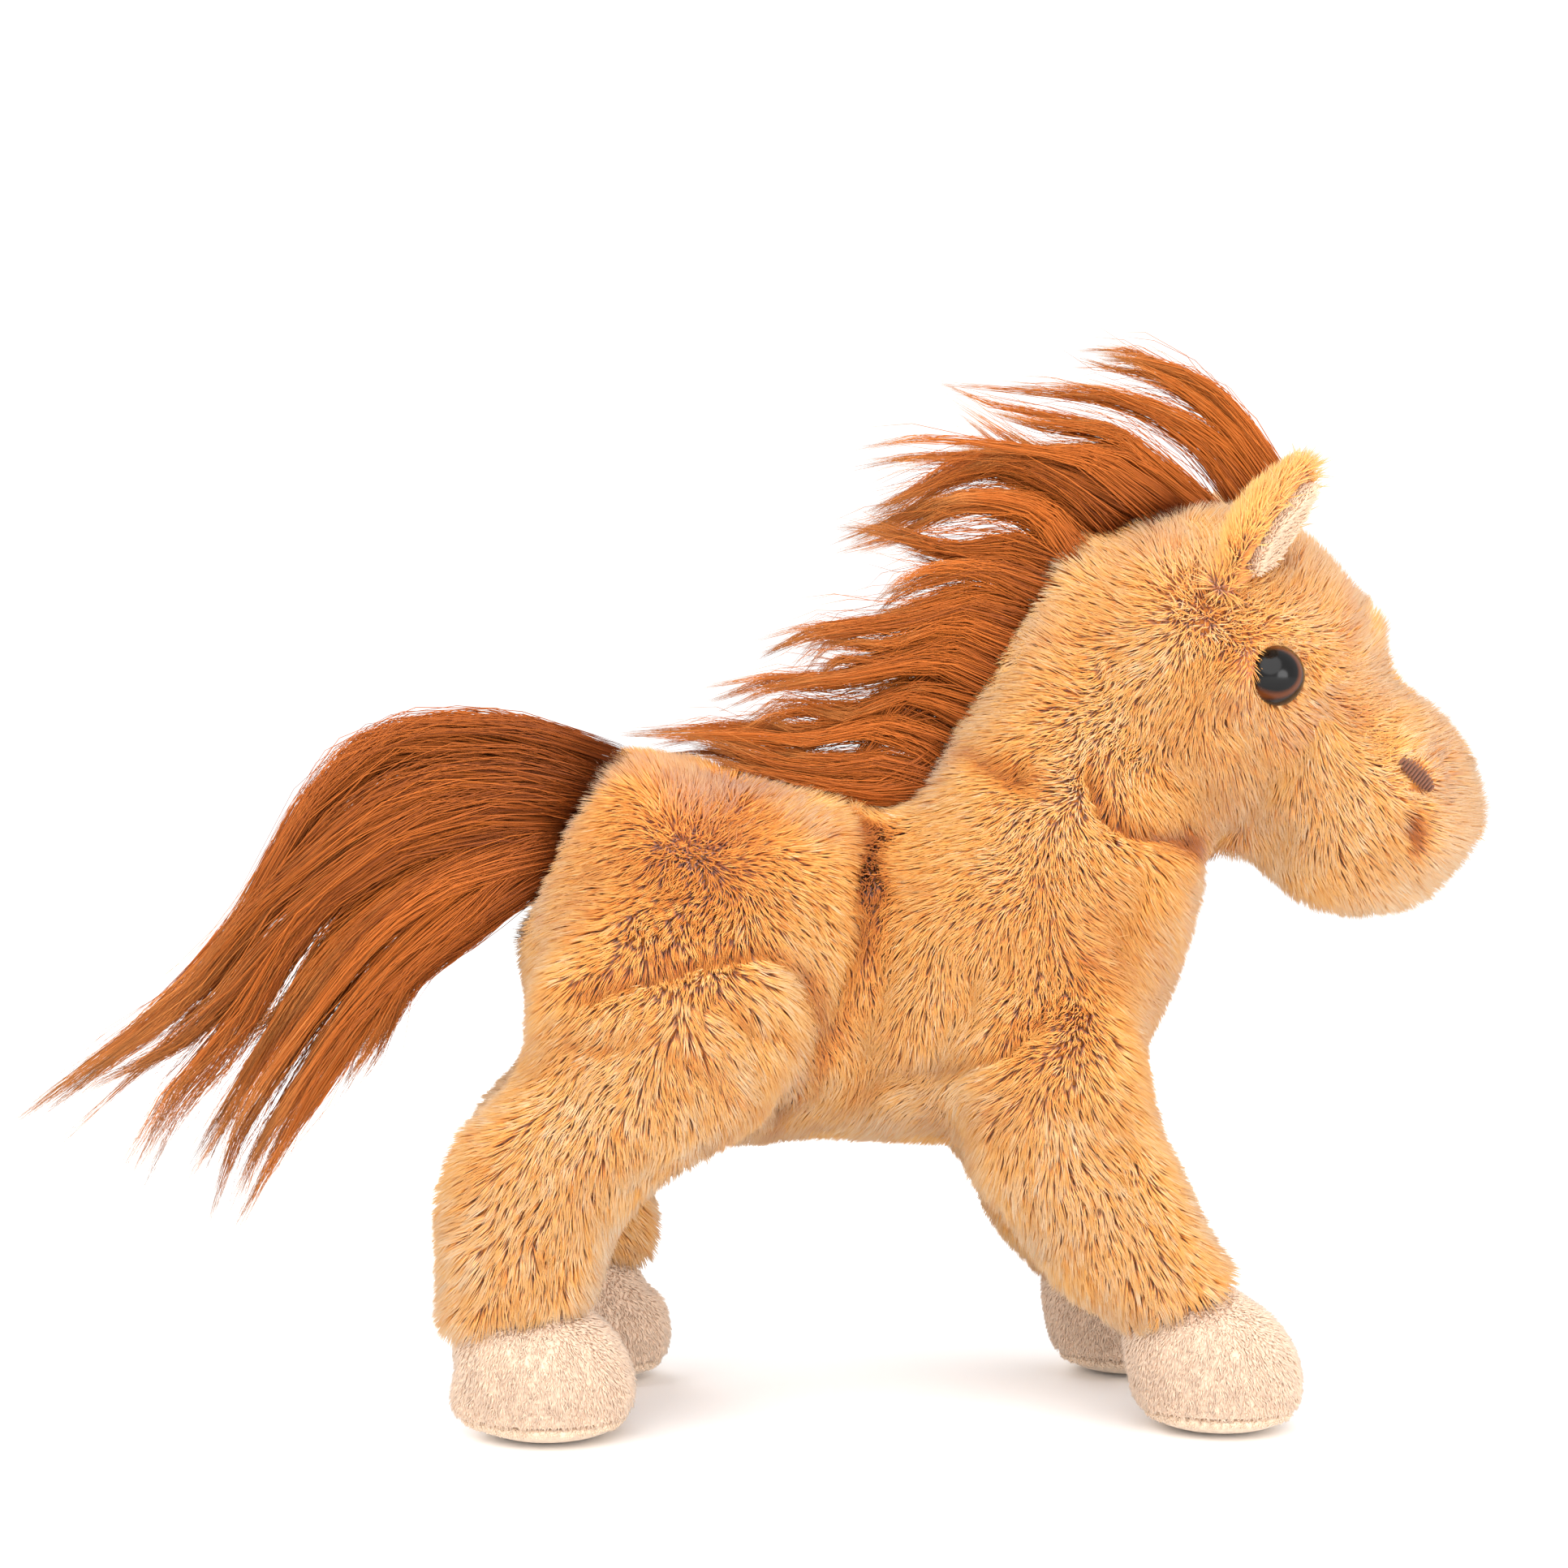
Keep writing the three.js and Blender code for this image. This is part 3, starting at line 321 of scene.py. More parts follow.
class HorseHairSettings(bpy.types.PropertyGroup):
    """The long brown hair of the mane, the forelock and the tail."""

    mane_strands: counted("Mane strands", "Strands of the mane", 9000)
    forelock_strands: counted("Forelock strands", "Strands of the forelock", 2200)
    tail_strands: counted("Tail strands", "Strands of the tail", 11400)
    strand_width: sized("Strand width", "Width of a strand at its root", 0.22)
    # Painted shade darkens the hair at its roots, and painted light lightens its thin tips.
    shaded_root_colour: tinted("Root colour", "Colour at the roots", (140, 66, 24))
    middle_colour: tinted("Main colour", "Colour half way", (200, 108, 38))
    lit_tip_colour: tinted("Tip colour", "Colour of the thin tips", (234, 160, 90))


class HorseTrimSettings(bpy.types.PropertyGroup):
    """The hooves, ear linings, eyes and nostrils."""

    hoof_colour: tinted("Hoof colour", "Pale pile of the hooves", (243, 215, 190))
    sole_colour: tinted("Sole colour", "Pale pile of the soles", (242, 216, 190))
    lining_colour: tinted("Lining colour", "Beige pile in the ears", (244, 212, 182))
    hoof_pile: sized("Hoof pile", "Length of the short pile", 2.3)
    iris_colour: tinted("Iris colour", "Amber ring of the eye", (88, 42, 14))
    thread_colour: tinted("Thread colour", "Stitches of the nostrils", (122, 74, 50))
    stitches: counted("Stitches", "Stitches in one nostril", 12)


class HorseStageSettings(bpy.types.PropertyGroup):
    """The floor, lights and camera."""

    floor_colour: tinted("Floor colour", "Plain pale floor", (253, 253, 253))
    key: numbered("Key light", "Power of the main light, in watts", 23.4)
    sky: numbered("Sky light", "Strength of the light all round", 1.18)


def settings():
    """All the settings, kept on the scene."""
    scene = bpy.context.scene
    return scene.horse_pile, scene.horse_hair, scene.horse_trim, scene.horse_stage


def mirrored(point, sign):
    """A place on the left side, taken to the side of that sign."""
    return np.array([point[0], point[1] * sign, point[2]], float)


def unit(vectors):
    """Vectors brought to length one."""
    return vectors / np.maximum(np.linalg.norm(vectors, axis=-1, keepdims=True), 1e-9)


def eased(share):
    """A share kept from 0 to 1 that starts and ends gently."""
    share = np.clip(share, 0, 1)
    return share * share * (3 - 2 * share)


def new_object(name, mesh):
    """An object at the origin that holds the mesh."""
    obj = bpy.data.objects.new(name, mesh)
    bpy.context.scene.collection.objects.link(obj)
    return obj


def object_from(name, bm):
    """An object from a bmesh, which is freed."""
    mesh = bpy.data.meshes.new(name)
    bm.to_mesh(mesh)
    bm.free()
    return new_object(name, mesh)


def applied(obj):
    """The object with its modifiers made part of its mesh."""
    depsgraph = bpy.context.evaluated_depsgraph_get()
    mesh = bpy.data.meshes.new_from_object(obj.evaluated_get(depsgraph))
    old = obj.data
    obj.modifiers.clear()
    obj.data = mesh
    bpy.data.meshes.remove(old)
    return obj


def points_of(mesh):
    """The places of a mesh's vertices, in millimetres."""
    places = np.zeros(len(mesh.vertices) * 3, np.float32)
    mesh.vertices.foreach_get("co", places)
    return places.reshape(-1, 3).astype(float) / MM


def put_points(mesh, places):
    """Sets a mesh's vertices from millimetres."""
    mesh.vertices.foreach_set("co", (places * MM).astype(np.float32).ravel())
    mesh.update()


def normals_of(mesh):
    """The outward directions at a mesh's vertices."""
    found = np.zeros(len(mesh.vertices) * 3, np.float32)
    mesh.vertex_normals.foreach_get("vector", found)
    return found.reshape(-1, 3).astype(float)


def joined_copy(name, nodes):
    """One object with merged copies of CAD nodes, whose own meshes are left alone."""
    bm = bmesh.new()
    for node in nodes:
        bm.from_mesh(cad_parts[node].data)
    bmesh.ops.remove_doubles(bm, verts=bm.verts, dist=0.01 * MM)
    return object_from(name, bm)


def remeshed(obj, voxel):
    """The object's surface rebuilt from even voxels, with only its largest shell kept."""
    modifier = obj.modifiers.new("even skin", "REMESH")
    modifier.mode = "VOXEL"
    modifier.voxel_size = voxel * MM
    applied(obj)
    keep_largest(obj.data)
    return obj


def keep_largest(mesh):
    """Takes out every shell of a mesh but the largest."""
    bm = bmesh.new()
    bm.from_mesh(mesh)
    bm.verts.ensure_lookup_table()
    seen = set()
    shells = []
    for vert in bm.verts:
        if vert.index in seen:
            continue
        shell = [vert]
        seen.add(vert.index)
        for found in shell:
            for edge in found.link_edges:
                other = edge.other_vert(found)
                if other.index not in seen:
                    seen.add(other.index)
                    shell.append(other)
        shells.append(shell)
    shells.sort(key=len)
    loose = [vert for shell in shells[:-1] for vert in shell]
    bmesh.ops.delete(bm, geom=loose, context="VERTS")
    bm.to_mesh(mesh)
    bm.free()


def evened(bm, verts, times):
    """Evens out some of a bmesh's vertices."""
    for _ in range(times):
        bmesh.ops.smooth_vert(
            bm, verts=verts, factor=0.5, use_axis_x=True, use_axis_y=True, use_axis_z=True
        )


def smoothed(mesh, times):
    """Evens out a mesh's surface."""
    bm = bmesh.new()
    bm.from_mesh(mesh)
    evened(bm, bm.verts, times)
    bm.to_mesh(mesh)
    bm.free()


def line_distance(points, line):
    """Distance of points, seen from the side, to a line of points."""
    flat = points[:, [0, 2]]
    best = np.full(len(flat), 1e9)
    for start, end in zip(np.array(line[:-1], float), np.array(line[1:], float)):
        along = end - start
        share = np.clip(((flat - start) @ along) / (along @ along), 0, 1)
        best = np.minimum(best, np.linalg.norm(flat - start - share[:, None] * along, axis=1))
    return best


def side_share(normals):
    """How far a surface faces sideways, from 0 to 1."""
    return eased((np.abs(normals[:, 1]) - 0.15) / 0.4)


def crease_depth(points, normals):
    """How deep the seams and folds draw the skin in."""
    depth = np.zeros(len(points))
    for line, deep, half_width, _ in CREASES:
        depth = np.maximum(depth, deep * np.exp(-(line_distance(points, line) / half_width) ** 2))
    return depth * side_share(normals)


def crease_shade(points, normals):
    """How dark the painted shade at the seams, folds and partings is, from 0 to 1."""
    shade = np.zeros(len(points))
    for line, _, half_width, dark in CREASES:
        shade += dark * np.exp(-(line_distance(points, line) / half_width) ** 2)
    for (x, z), radius, dark in PARTINGS:
        gap = np.hypot(points[:, 0] - x, points[:, 2] - z)
        shade += dark * np.exp(-(gap / radius) ** 2)
    return shade * side_share(normals)


def near(points, place, reach):
    """1 close to a place and its mirror image, falling to 0 at twice the reach."""
    best = np.zeros(len(points))
    for sign in SIDES.values():
        gap = np.linalg.norm(points - mirrored(place, sign), axis=1)
        best = np.maximum(best, np.clip(2 - gap / reach, 0, 1))
    return best


def pile_height(points):
    """How far the skin lies below the tips of its pile."""
    shorter = np.maximum(near(points, EYE_PLACE, 6.5) * 0.55, near(points, NOSTRIL_PLACE, 4.5) * 0.6)
    return settings()[0].rise / MM * (1 - shorter)


Surface = collections.namedtuple("Surface", "points normals corners faces")


def surface_of(mesh):
    """A mesh's vertices, outward directions and triangles, and the face of each triangle."""
    mesh.calc_loop_triangles()
    corners = np.zeros(len(mesh.loop_triangles) * 3, np.int32)
    mesh.loop_triangles.foreach_get("vertices", corners)
    faces = np.zeros(len(mesh.loop_triangles), np.int32)
    mesh.loop_triangles.foreach_get("polygon_index", faces)
    return Surface(points_of(mesh), normals_of(mesh), corners.reshape(-1, 3), faces)


@functools.lru_cache(maxsize=None)
def skin():
    """The whole sewn skin below the pile: its surface, its bmesh and the CAD node of each face."""
    nodes = ["body", "head", *LEGS]
    obj = remeshed(joined_copy("skin", nodes), SKIN_GRAIN)
    smoothed(obj.data, 5)
    evened_joins(obj.data)
    put_points(obj.data, swelled(points_of(obj.data)))
    filled(obj)
    mesh = obj.data
    points = points_of(mesh)
    owners = owner_of(points, mesh, nodes)
    normals = normals_of(mesh)
    points -= way_out(points, normals) * (pile_height(points) + crease_depth(points, normals))[:, None]
    points[:, 2] += CUFF_LIFT * eased((CUFF_TOP - points[:, 2]) / CUFF_HEIGHT)
    put_points(mesh, points)
    smoothed(mesh, 1)
    surface = surface_of(mesh)
    sewn = bmesh.new()
    sewn.from_mesh(mesh)
    bpy.data.objects.remove(obj)
    bpy.data.meshes.remove(mesh)
    return surface, sewn, owners


def way_out(points, normals):
    """The way out of the skin: its normals, but away from the legs' middles at the thin cuffs."""
    share = np.clip((CUFF_TOP - points[:, 2]) / CUFF_WALL, 0, 1)[:, None]
    return normals * (1 - share) + from_leg(points) * share


def from_leg(points):
    """Level directions away from the middle of the nearest leg's cuff, fading out at the middle."""
    middles = np.array(cuff_middles())
    steps = points[:, None, :2] - middles[None]
    gaps = np.linalg.norm(steps, axis=2)
    nearest = gaps.argmin(axis=1)
    rows = np.arange(len(points))
    away = steps[rows, nearest] / np.maximum(gaps[rows, nearest], LEG_CORE)[:, None]
    return np.column_stack([away, np.zeros(len(points))])


@functools.lru_cache(maxsize=None)
def cuff_middles():
    """The middles of the four cuffs, seen from above."""
    middles = []
    for leg in LEGS:
        places = points_of(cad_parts[leg].data)
        low = places[places[:, 2] < places[:, 2].min() + CUFF_WALL]
        middles.append(tuple((low.min(axis=0) + low.max(axis=0))[:2] / 2))
    return middles


def swelled(points):
    """Points moved where the stuffing stands out further or less."""
    moved = points.copy()
    for place, reach, push in SWELLS:
        share = eased(1 - np.linalg.norm(points - np.array(place), axis=1) / reach)
        moved += share[:, None] * np.array(push)
    return moved


def evened_joins(mesh):
    """Fills the grooves where the front of a leg or the jaw runs into the trunk."""
    bm = bmesh.new()
    bm.from_mesh(mesh)
    centres = np.array([vert.co for vert in bm.verts]) / MM
    chosen = np.zeros(len(centres), bool)
    for place, reach in JOINS:
        for sign in SIDES.values():
            chosen |= np.linalg.norm(centres - mirrored(place, sign), axis=1) < reach
    verts = [vert for vert, pick in zip(bm.verts, chosen) if pick]
    evened(bm, verts, JOIN_PASSES)
    bm.to_mesh(mesh)
    bm.free()


def filled(obj):
    """Lets the stuffing press the skin out evenly, as a short cloth simulation."""
    before = points_of(obj.data)
    cloth = obj.modifiers.new("stuffing", "CLOTH")
    cloth.settings.use_pressure = True
    cloth.settings.uniform_pressure_force = STUFFING_PRESSURE
    cloth.settings.effector_weights.gravity = 0
    for step in range(1, STUFFING_FRAMES + 1):
        bpy.context.scene.frame_set(step)
    applied(obj)
    bpy.context.scene.frame_set(1)
    moved = points_of(obj.data) - before
    size = np.linalg.norm(moved, axis=1, keepdims=True)
    put_points(obj.data, before + moved * np.minimum(1, STUFFING_MOST / np.maximum(size, 1e-9)))
    smoothed(obj.data, 2)


def owner_of(points, mesh, nodes):
    """The nearest CAD node to each face of the skin."""
    trees = []
    for node in nodes:
        bm = bmesh.new()
        bm.from_mesh(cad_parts[node].data)
        trees.append(BVHTree.FromBMesh(bm))
        bm.free()
    owners = []
    for face in mesh.polygons:
        place = Vector(points[list(face.vertices)].mean(axis=0)) * MM
        gaps = [tree.find_nearest(place)[3] for tree in trees]
        owners.append(nodes[int(np.argmin(gaps))])
    return owners


def panel(name, node):
    """One sewn panel of the skin, closed behind by its own thickness."""
    _, sewn, owners = skin()
    bm = sewn.copy()
    bm.faces.ensure_lookup_table()
    other = [face for face, owner in zip(bm.faces, owners) if owner != node]
    bmesh.ops.delete(bm, geom=other, context="FACES")
    obj = object_from(name, bm)
    wall = obj.modifiers.new("fabric", "SOLIDIFY")
    wall.thickness = FABRIC * MM
    wall.offset = -1
    applied(obj)
    obj.data.shade_smooth()
    return obj


def combed(points):
    """The side view direction of the pile at each point, and how well the guides agree there."""
    guides = np.array(COMBING, float)
    angles = np.radians(guides[:, 2])
    steps = points[:, None, [0, 2]] - guides[None, :, :2]
    weights = np.exp(-(steps ** 2).sum(axis=2) / (2 * COMB_REACH ** 2)) + 1e-9
    along = weights @ np.stack([np.cos(angles), np.sin(angles)], axis=1)
    agreed = np.linalg.norm(along, axis=1) / weights.sum(axis=1)
    return unit(np.stack([along[:, 0], np.zeros(len(points)), along[:, 1]], axis=1)), agreed


def laid_down(directions, normals):
    """Directions turned into the surface, where pile lies."""
    flat = directions - (directions * normals).sum(axis=1, keepdims=True) * normals
    return unit(flat)


def scattered(surface, faces, density, rng):
    """Even random places on some faces of a surface, with the outward directions there."""
    corners = surface.corners if faces is None else surface.corners[np.isin(surface.faces, faces)]
    places = surface.points[corners]
    outward = surface.normals[corners]
    area = np.linalg.norm(np.cross(places[:, 1] - places[:, 0], places[:, 2] - places[:, 0]), axis=1) / 2
    total = area.cumsum()
    count = int(total[-1] * density)
    picks = (np.arange(count) + rng.random(count)) / count * total[-1]
    picked = np.minimum(np.searchsorted(total, picks), len(total) - 1)
    first = np.sqrt(rng.random(count))
    second = rng.random(count)
    mix = np.stack([1 - first, first * (1 - second), first * second], axis=1)[:, :, None]
    return (places[picked] * mix).sum(axis=1), unit((outward[picked] * mix).sum(axis=1))


@functools.lru_cache(maxsize=None)
def strand_template(levels):
    """One closed three-sided strand: the level of each vertex, its offset and the faces.

    With two levels it is a cone, and with more it is pointed at both ends.
    """
    bm = bmesh.new()
    bmesh.ops.create_circle(bm, cap_ends=True, cap_tris=levels > 2, segments=3, radius=1)
    bmesh.ops.translate(bm, verts=[vert for vert in bm.verts if not vert.is_boundary], vec=(0, 0, -1))
    rings = max(1, levels - 2)
    for _ in range(rings):
        edges = [edge for edge in bm.edges if edge.is_boundary]
        made = bmesh.ops.extrude_edge_only(bm, edges=edges)["geom"]
        top = [item for item in made if isinstance(item, bmesh.types.BMVert)]
        bmesh.ops.translate(bm, verts=top, vec=(0, 0, 1))
    bmesh.ops.pointmerge(bm, verts=top, merge_co=(0, 0, rings))
    bmesh.ops.triangulate(bm, faces=bm.faces)
    bmesh.ops.recalc_face_normals(bm, faces=bm.faces)
    bm.verts.index_update()
    places = np.array([vert.co for vert in bm.verts])
    faces = np.array([[vert.index for vert in face.verts] for face in bm.faces])
    bm.free()
    return np.round(places[:, 2] - places[:, 2].min()).astype(int), places[:, :2], faces


def strands(name, lines, widths, tones, hint):
    """One mesh of many strands along lines of points, with a map of tone and root to tip."""
    count, levels, _ = lines.shape
    ring, offset, faces = strand_template(levels)
    tangent = unit(np.gradient(lines, axis=1))
    side = unit(np.cross(tangent, hint[:, None, :]))
    up = np.cross(side, tangent)
    radius = (widths / 2)[:, ring, None]
    places = lines[:, ring] + radius * (offset[:, :1] * side[:, ring] + offset[:, 1:] * up[:, ring])
    corner = (faces[None] + (np.arange(count) * len(ring))[:, None, None]).ravel()
    mesh = bpy.data.meshes.new(name)
    mesh.vertices.add(count * len(ring))
    mesh.loops.add(len(corner))
    mesh.polygons.add(count * len(faces))
    mesh.vertices.foreach_set("co", (places * MM).astype(np.float32).ravel())
    mesh.loops.foreach_set("vertex_index", corner.astype(np.int32))
    mesh.polygons.foreach_set("loop_start", np.arange(count * len(faces), dtype=np.int32) * 3)
    mesh.update(calc_edges=True)
    mesh.shade_smooth()
    spread = 0.02 + 0.96 * (tones[:, None] * 0.97 + 0.015 * (offset[None, :, 0] + 1))
    along = np.broadcast_to(0.02 + 0.96 * ring / (levels - 1), spread.shape)
    laid = np.stack([spread, along], axis=2).reshape(-1, 2)
    layer = mesh.uv_layers.new(name="OFBake")
    layer.data.foreach_set("uv", laid[corner].astype(np.float32).ravel())
    return new_object(name, mesh)


def drifting(points, rng, size):
    """A slow random drift over space, from about -1 to 1."""
    waves = rng.normal(size=(6, 3)) / size
    phases = rng.random(6) * 2 * math.pi
    return np.sin(points @ waves.T * 2 + phases).mean(axis=1) * 1.8


def gathered(roots, tips, spacing, rng, draw):
    """Tips drawn together into tufts around scattered leaders."""
    count = len(roots)
    leaders = rng.permutation(count)[: max(1, int(count / spacing))]
    tree = KDTree(len(leaders))
    for index, leader in enumerate(leaders):
        tree.insert(roots[leader], index)
    tree.balance()
    owner = np.array([tree.find(root)[1] for root in roots])
    leader = leaders[owner]
    share = draw * rng.uniform(0.6, 1.2, count)[:, None]
    return tips + (tips[leader] - tips) * share, owner


def tufted(name, roots, tips, normals, rng, per_tuft, draw, width, width_spread, tone, tone_spread):
    """One mesh of short tapering strands, drawn together into tufts with tones of their own."""
    tips, owner = gathered(roots, tips, per_tuft, rng, draw)
    widths = np.zeros((len(roots), 2))
    widths[:, 0] = width * rng.uniform(1 - width_spread, 1 + width_spread, len(roots))
    tones = tone + rng.normal(scale=tone_spread, size=owner.max() + 1)[owner]
    tones = tones + rng.normal(scale=tone_spread, size=len(roots))
    return strands(name, np.stack([roots, tips], axis=1), widths, np.clip(tones, 0, 1), normals)


def off_features(roots):
    """True where pile grows, clear of the eyes and nostrils."""
    eye_front = (EYE_PLACE[0] + EYE_BARE, *EYE_PLACE[1:])
    return (near(roots, eye_front, 2.8) < 0.3) & (near(roots, NOSTRIL_PLACE, 1.9) < 0.5)


def swept_round(lay, roots, place, reach):
    """The pile's lay turned away from an eye or nostril, but not behind it."""
    share = near(roots, place, reach)[:, None] * (roots[:, :1] > place[0] - 3.5)
    middles = np.tile(place, (len(roots), 1))
    middles[:, 1] *= np.where(roots[:, 1] < 0, -1, 1)
    return unit(lay * (1 - share) + unit(roots - middles) * share * 1.3)


def pile_lay(roots, normals, rng, sway):
    """Which way the pile lies at its roots, and how tossed it is there, from 0 to 1."""
    lay, agreed = combed(roots)
    tossed = np.clip(1 - agreed / 0.7, 0, 1)
    for place, reach in ((EYE_PLACE, 3.8), (NOSTRIL_PLACE, 2.2)):
        lay = swept_round(lay, roots, place, reach)
    drift = np.stack([drifting(roots, sway, 8) for _ in range(3)], axis=1)
    lay = laid_down(lay + 0.5 * drift, normals)
    stray = rng.normal(size=lay.shape) * (0.2 + 1.3 * tossed[:, None])
    return laid_down(lay + stray, normals), tossed


def pile_coat(name, surface, faces, density, seed):
    """The pile on some faces of the skin, in one object."""
    pile = settings()[0]
    rng = np.random.default_rng(seed)
    sway = np.random.default_rng(SWAY_SEED)
    roots, normals = scattered(surface, faces, density, rng)
    clear = off_features(roots)
    roots, normals = roots[clear], normals[clear]
    count = len(roots)
    lay, tossed = pile_lay(roots, normals, rng, sway)
    rise = pile_height(roots) * rng.uniform(0.8, 1.1, count)
    run = pile.length / MM * rng.uniform(0.75, 1.2, count)
    run = run * (rise / (pile.rise / MM)) ** 0.5 * (1 - 0.5 * tossed)
    tips = roots + normals * rise[:, None] + lay * run[:, None]
    per_tuft = density * (pile.clump_spacing / MM) ** 2
    draw = np.clip(0.45 + 0.2 * drifting(roots, sway, 14), 0.2, 0.7)[:, None]
    tone = 0.67 + 0.09 * drifting(roots, sway, 14) + region_tone(roots)
    # Painted shade darkens the pile in creases and partings, and a little where it is tossed.
    tone = tone - 0.75 * crease_shade(roots, normals) - 0.05 * tossed
    width = pile.strand_width / MM
    return tufted(name, roots, tips, normals, rng, per_tuft, draw, width, 0.25, tone, 0.075)


def region_tone(points):
    """How light the pile is in the parts of the body, around the middle tone."""
    tone = np.zeros(len(points))
    for place, reach, change in REGION_TONES.values():
        tone += change * np.exp(-(((points[:, [0, 2]] - place) / reach) ** 2).sum(axis=1))
    return tone


def made_once(make):
    """A finish that is made at its first use and found by its name later."""
    names = {}

    @functools.wraps(make)
    def found(*args):
        material = bpy.data.materials.get(names.get(args, ""))
        if material is None:
            material = make(*args)
            names[args] = material.name
        return material

    return found


def shader(name, roughness, sheen=0.0, specular=0.3):
    """A new material and its main shader, set up plainly."""
    material = bpy.data.materials.new(name)
    material.use_nodes = True
    nodes = material.node_tree.nodes
    surface = nodes["Principled BSDF"]
    surface.inputs["Roughness"].default_value = roughness
    surface.inputs["Sheen Weight"].default_value = sheen
    surface.inputs["Sheen Roughness"].default_value = 0.5
    surface.inputs["Specular IOR Level"].default_value = specular
    return material, material.node_tree, surface


def ramp(tree, stops):
    """A colour ramp with stops of place and colour."""
    node = tree.nodes.new("ShaderNodeValToRGB")
    elements = node.color_ramp.elements
    while len(elements) < len(stops):
        elements.new(0.5)
    for element, (place, colour) in zip(elements, stops):
        element.position = place
        element.color = (*colour, 1)
    return node


def multiplied(tree, first, second):
    """Two colour sockets multiplied."""
    node = tree.nodes.new("ShaderNodeMix")
    node.data_type = "RGBA"
    node.blend_type = "MULTIPLY"
    node.inputs["Factor"].default_value = 1
    tree.links.new(first, node.inputs[6])
    tree.links.new(second, node.inputs[7])
    return node.outputs[2]


def strand_material(name, tone_stops, length_stops, roughness, sheen, specular=0.3):
    """Finish of strands: across their map runs the tone, and up it the way from root to tip."""
    material, tree, surface = shader(name, roughness, sheen, specular)
    laid = tree.nodes.new("ShaderNodeUVMap")
    laid.uv_map = "OFBake"
    split = tree.nodes.new("ShaderNodeSeparateXYZ")
    tree.links.new(laid.outputs["UV"], split.inputs["Vector"])
    tone = ramp(tree, tone_stops)
    tree.links.new(split.outputs["X"], tone.inputs["Fac"])
    length = ramp(tree, length_stops)
    tree.links.new(split.outputs["Y"], length.inputs["Fac"])
    colour = multiplied(tree, tone.outputs["Color"], length.outputs["Color"])
    tree.links.new(colour, surface.inputs["Base Color"])
    return material


@made_once
def pile_finish():
    """Tan pile: painted shade darkens each strand to orange towards the backing, and its tips are light."""
    pile = settings()[0]
    colours = (pile.crease_shade_colour, pile.low_colour, pile.middle_colour, pile.high_colour)
    # The deep colour is the painted shade of creases and partings.
    deep, low, middle, high = (tuple(colour) for colour in colours)
    # Painted shade: each strand darkens towards the backing, to the root colour.
    root = tuple(a / max(b, 1e-3) for a, b in zip(pile.shaded_root_colour, middle))
    tones = [(0.0, deep), (0.14, deep), (0.38, low), (0.62, middle), (1.0, high)]
    lengths = [(0.0, root), (0.5, (0.93, 0.89, 0.84)), (0.9, (1, 1, 1))]
    return strand_material("tan pile", tones, lengths, 0.8, 0.28)


@made_once
def hair_finish():
    """Long brown hair, darker at the roots with painted shade and lighter at the thin tips with painted
    light.
    """
    hair = settings()[1]
    # Painted shade darkens the roots, and painted light lightens the thin tips.
    root, middle, tip = (tuple(colour) for colour in (hair.shaded_root_colour, hair.middle_colour, hair.lit_tip_colour))
    tones = [(0.0, (0.3, 0.24, 0.18)), (0.5, (0.8, 0.76, 0.7)), (1.0, (1, 1, 1))]
    lengths = [(0.0, root), (0.35, middle), (0.75, middle), (1.0, tip)]
    return strand_material("long hair", tones, lengths, 0.5, 0, 0.25)


def grained(tree, surface, scale, stops):
    """Colours a surface by an even noise over the piece, and gives the noise."""
    place = tree.nodes.new("ShaderNodeTexCoord")
    grain = tree.nodes.new("ShaderNodeTexNoise")
    grain.inputs["Scale"].default_value = scale
    tree.links.new(place.outputs["Object"], grain.inputs["Vector"])
    shade = ramp(tree, stops)
    tree.links.new(grain.outputs["Fac"], shade.inputs["Fac"])
    tree.links.new(shade.outputs["Color"], surface.inputs["Base Color"])
    return grain


def woven_finish(name, colour, scale=900.0, bump=0.3, roughness=0.9):
    """Backing or short pile cloth, with a fine uneven grain."""
    material, tree, surface = shader(name, roughness, 0.2)
    grain = grained(tree, surface, scale, [(0.3, tuple(c * 0.72 for c in colour)), (0.7, tuple(colour))])
    grain.inputs["Detail"].default_value = 4
    height = tree.nodes.new("ShaderNodeBump")
    height.inputs["Strength"].default_value = bump
    height.inputs["Distance"].default_value = 0.3 * MM
    tree.links.new(grain.outputs["Fac"], height.inputs["Height"])
    tree.links.new(height.outputs["Normal"], surface.inputs["Normal"])
    return material


@made_once
def backing_finish():
    """The knitted backing that shows between tufts, in the pile's root colour, which is painted shade."""
    return woven_finish("pile backing", tuple(settings()[0].shaded_root_colour))


def blended(piece):
    """Bakes a piece's place into its mesh."""
    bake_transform(piece)


def fasten_neck(piece):
    """Bakes a piece's place into its mesh."""
    blended(piece)


def fasten_leg(piece, leg):
    """Bakes a piece's place into its mesh."""
    blended(piece)


def coated_faces(node):
    """The faces of the skin that belong to a node and carry pile."""
    _, sewn, owners = skin()
    return [face.index for face, owner in zip(sewn.faces, owners) if owner == node and not under_hoof(face)]


def under_hoof(face):
    """True for the hidden ends of the legs and the insides of their cuffs."""
    place = np.array([face.calc_center_median() / MM])
    if place[0, 2] > CUFF_TOP:
        return False
    return face.normal.z < -0.88 or from_leg(place)[0] @ np.array(face.normal) < 0


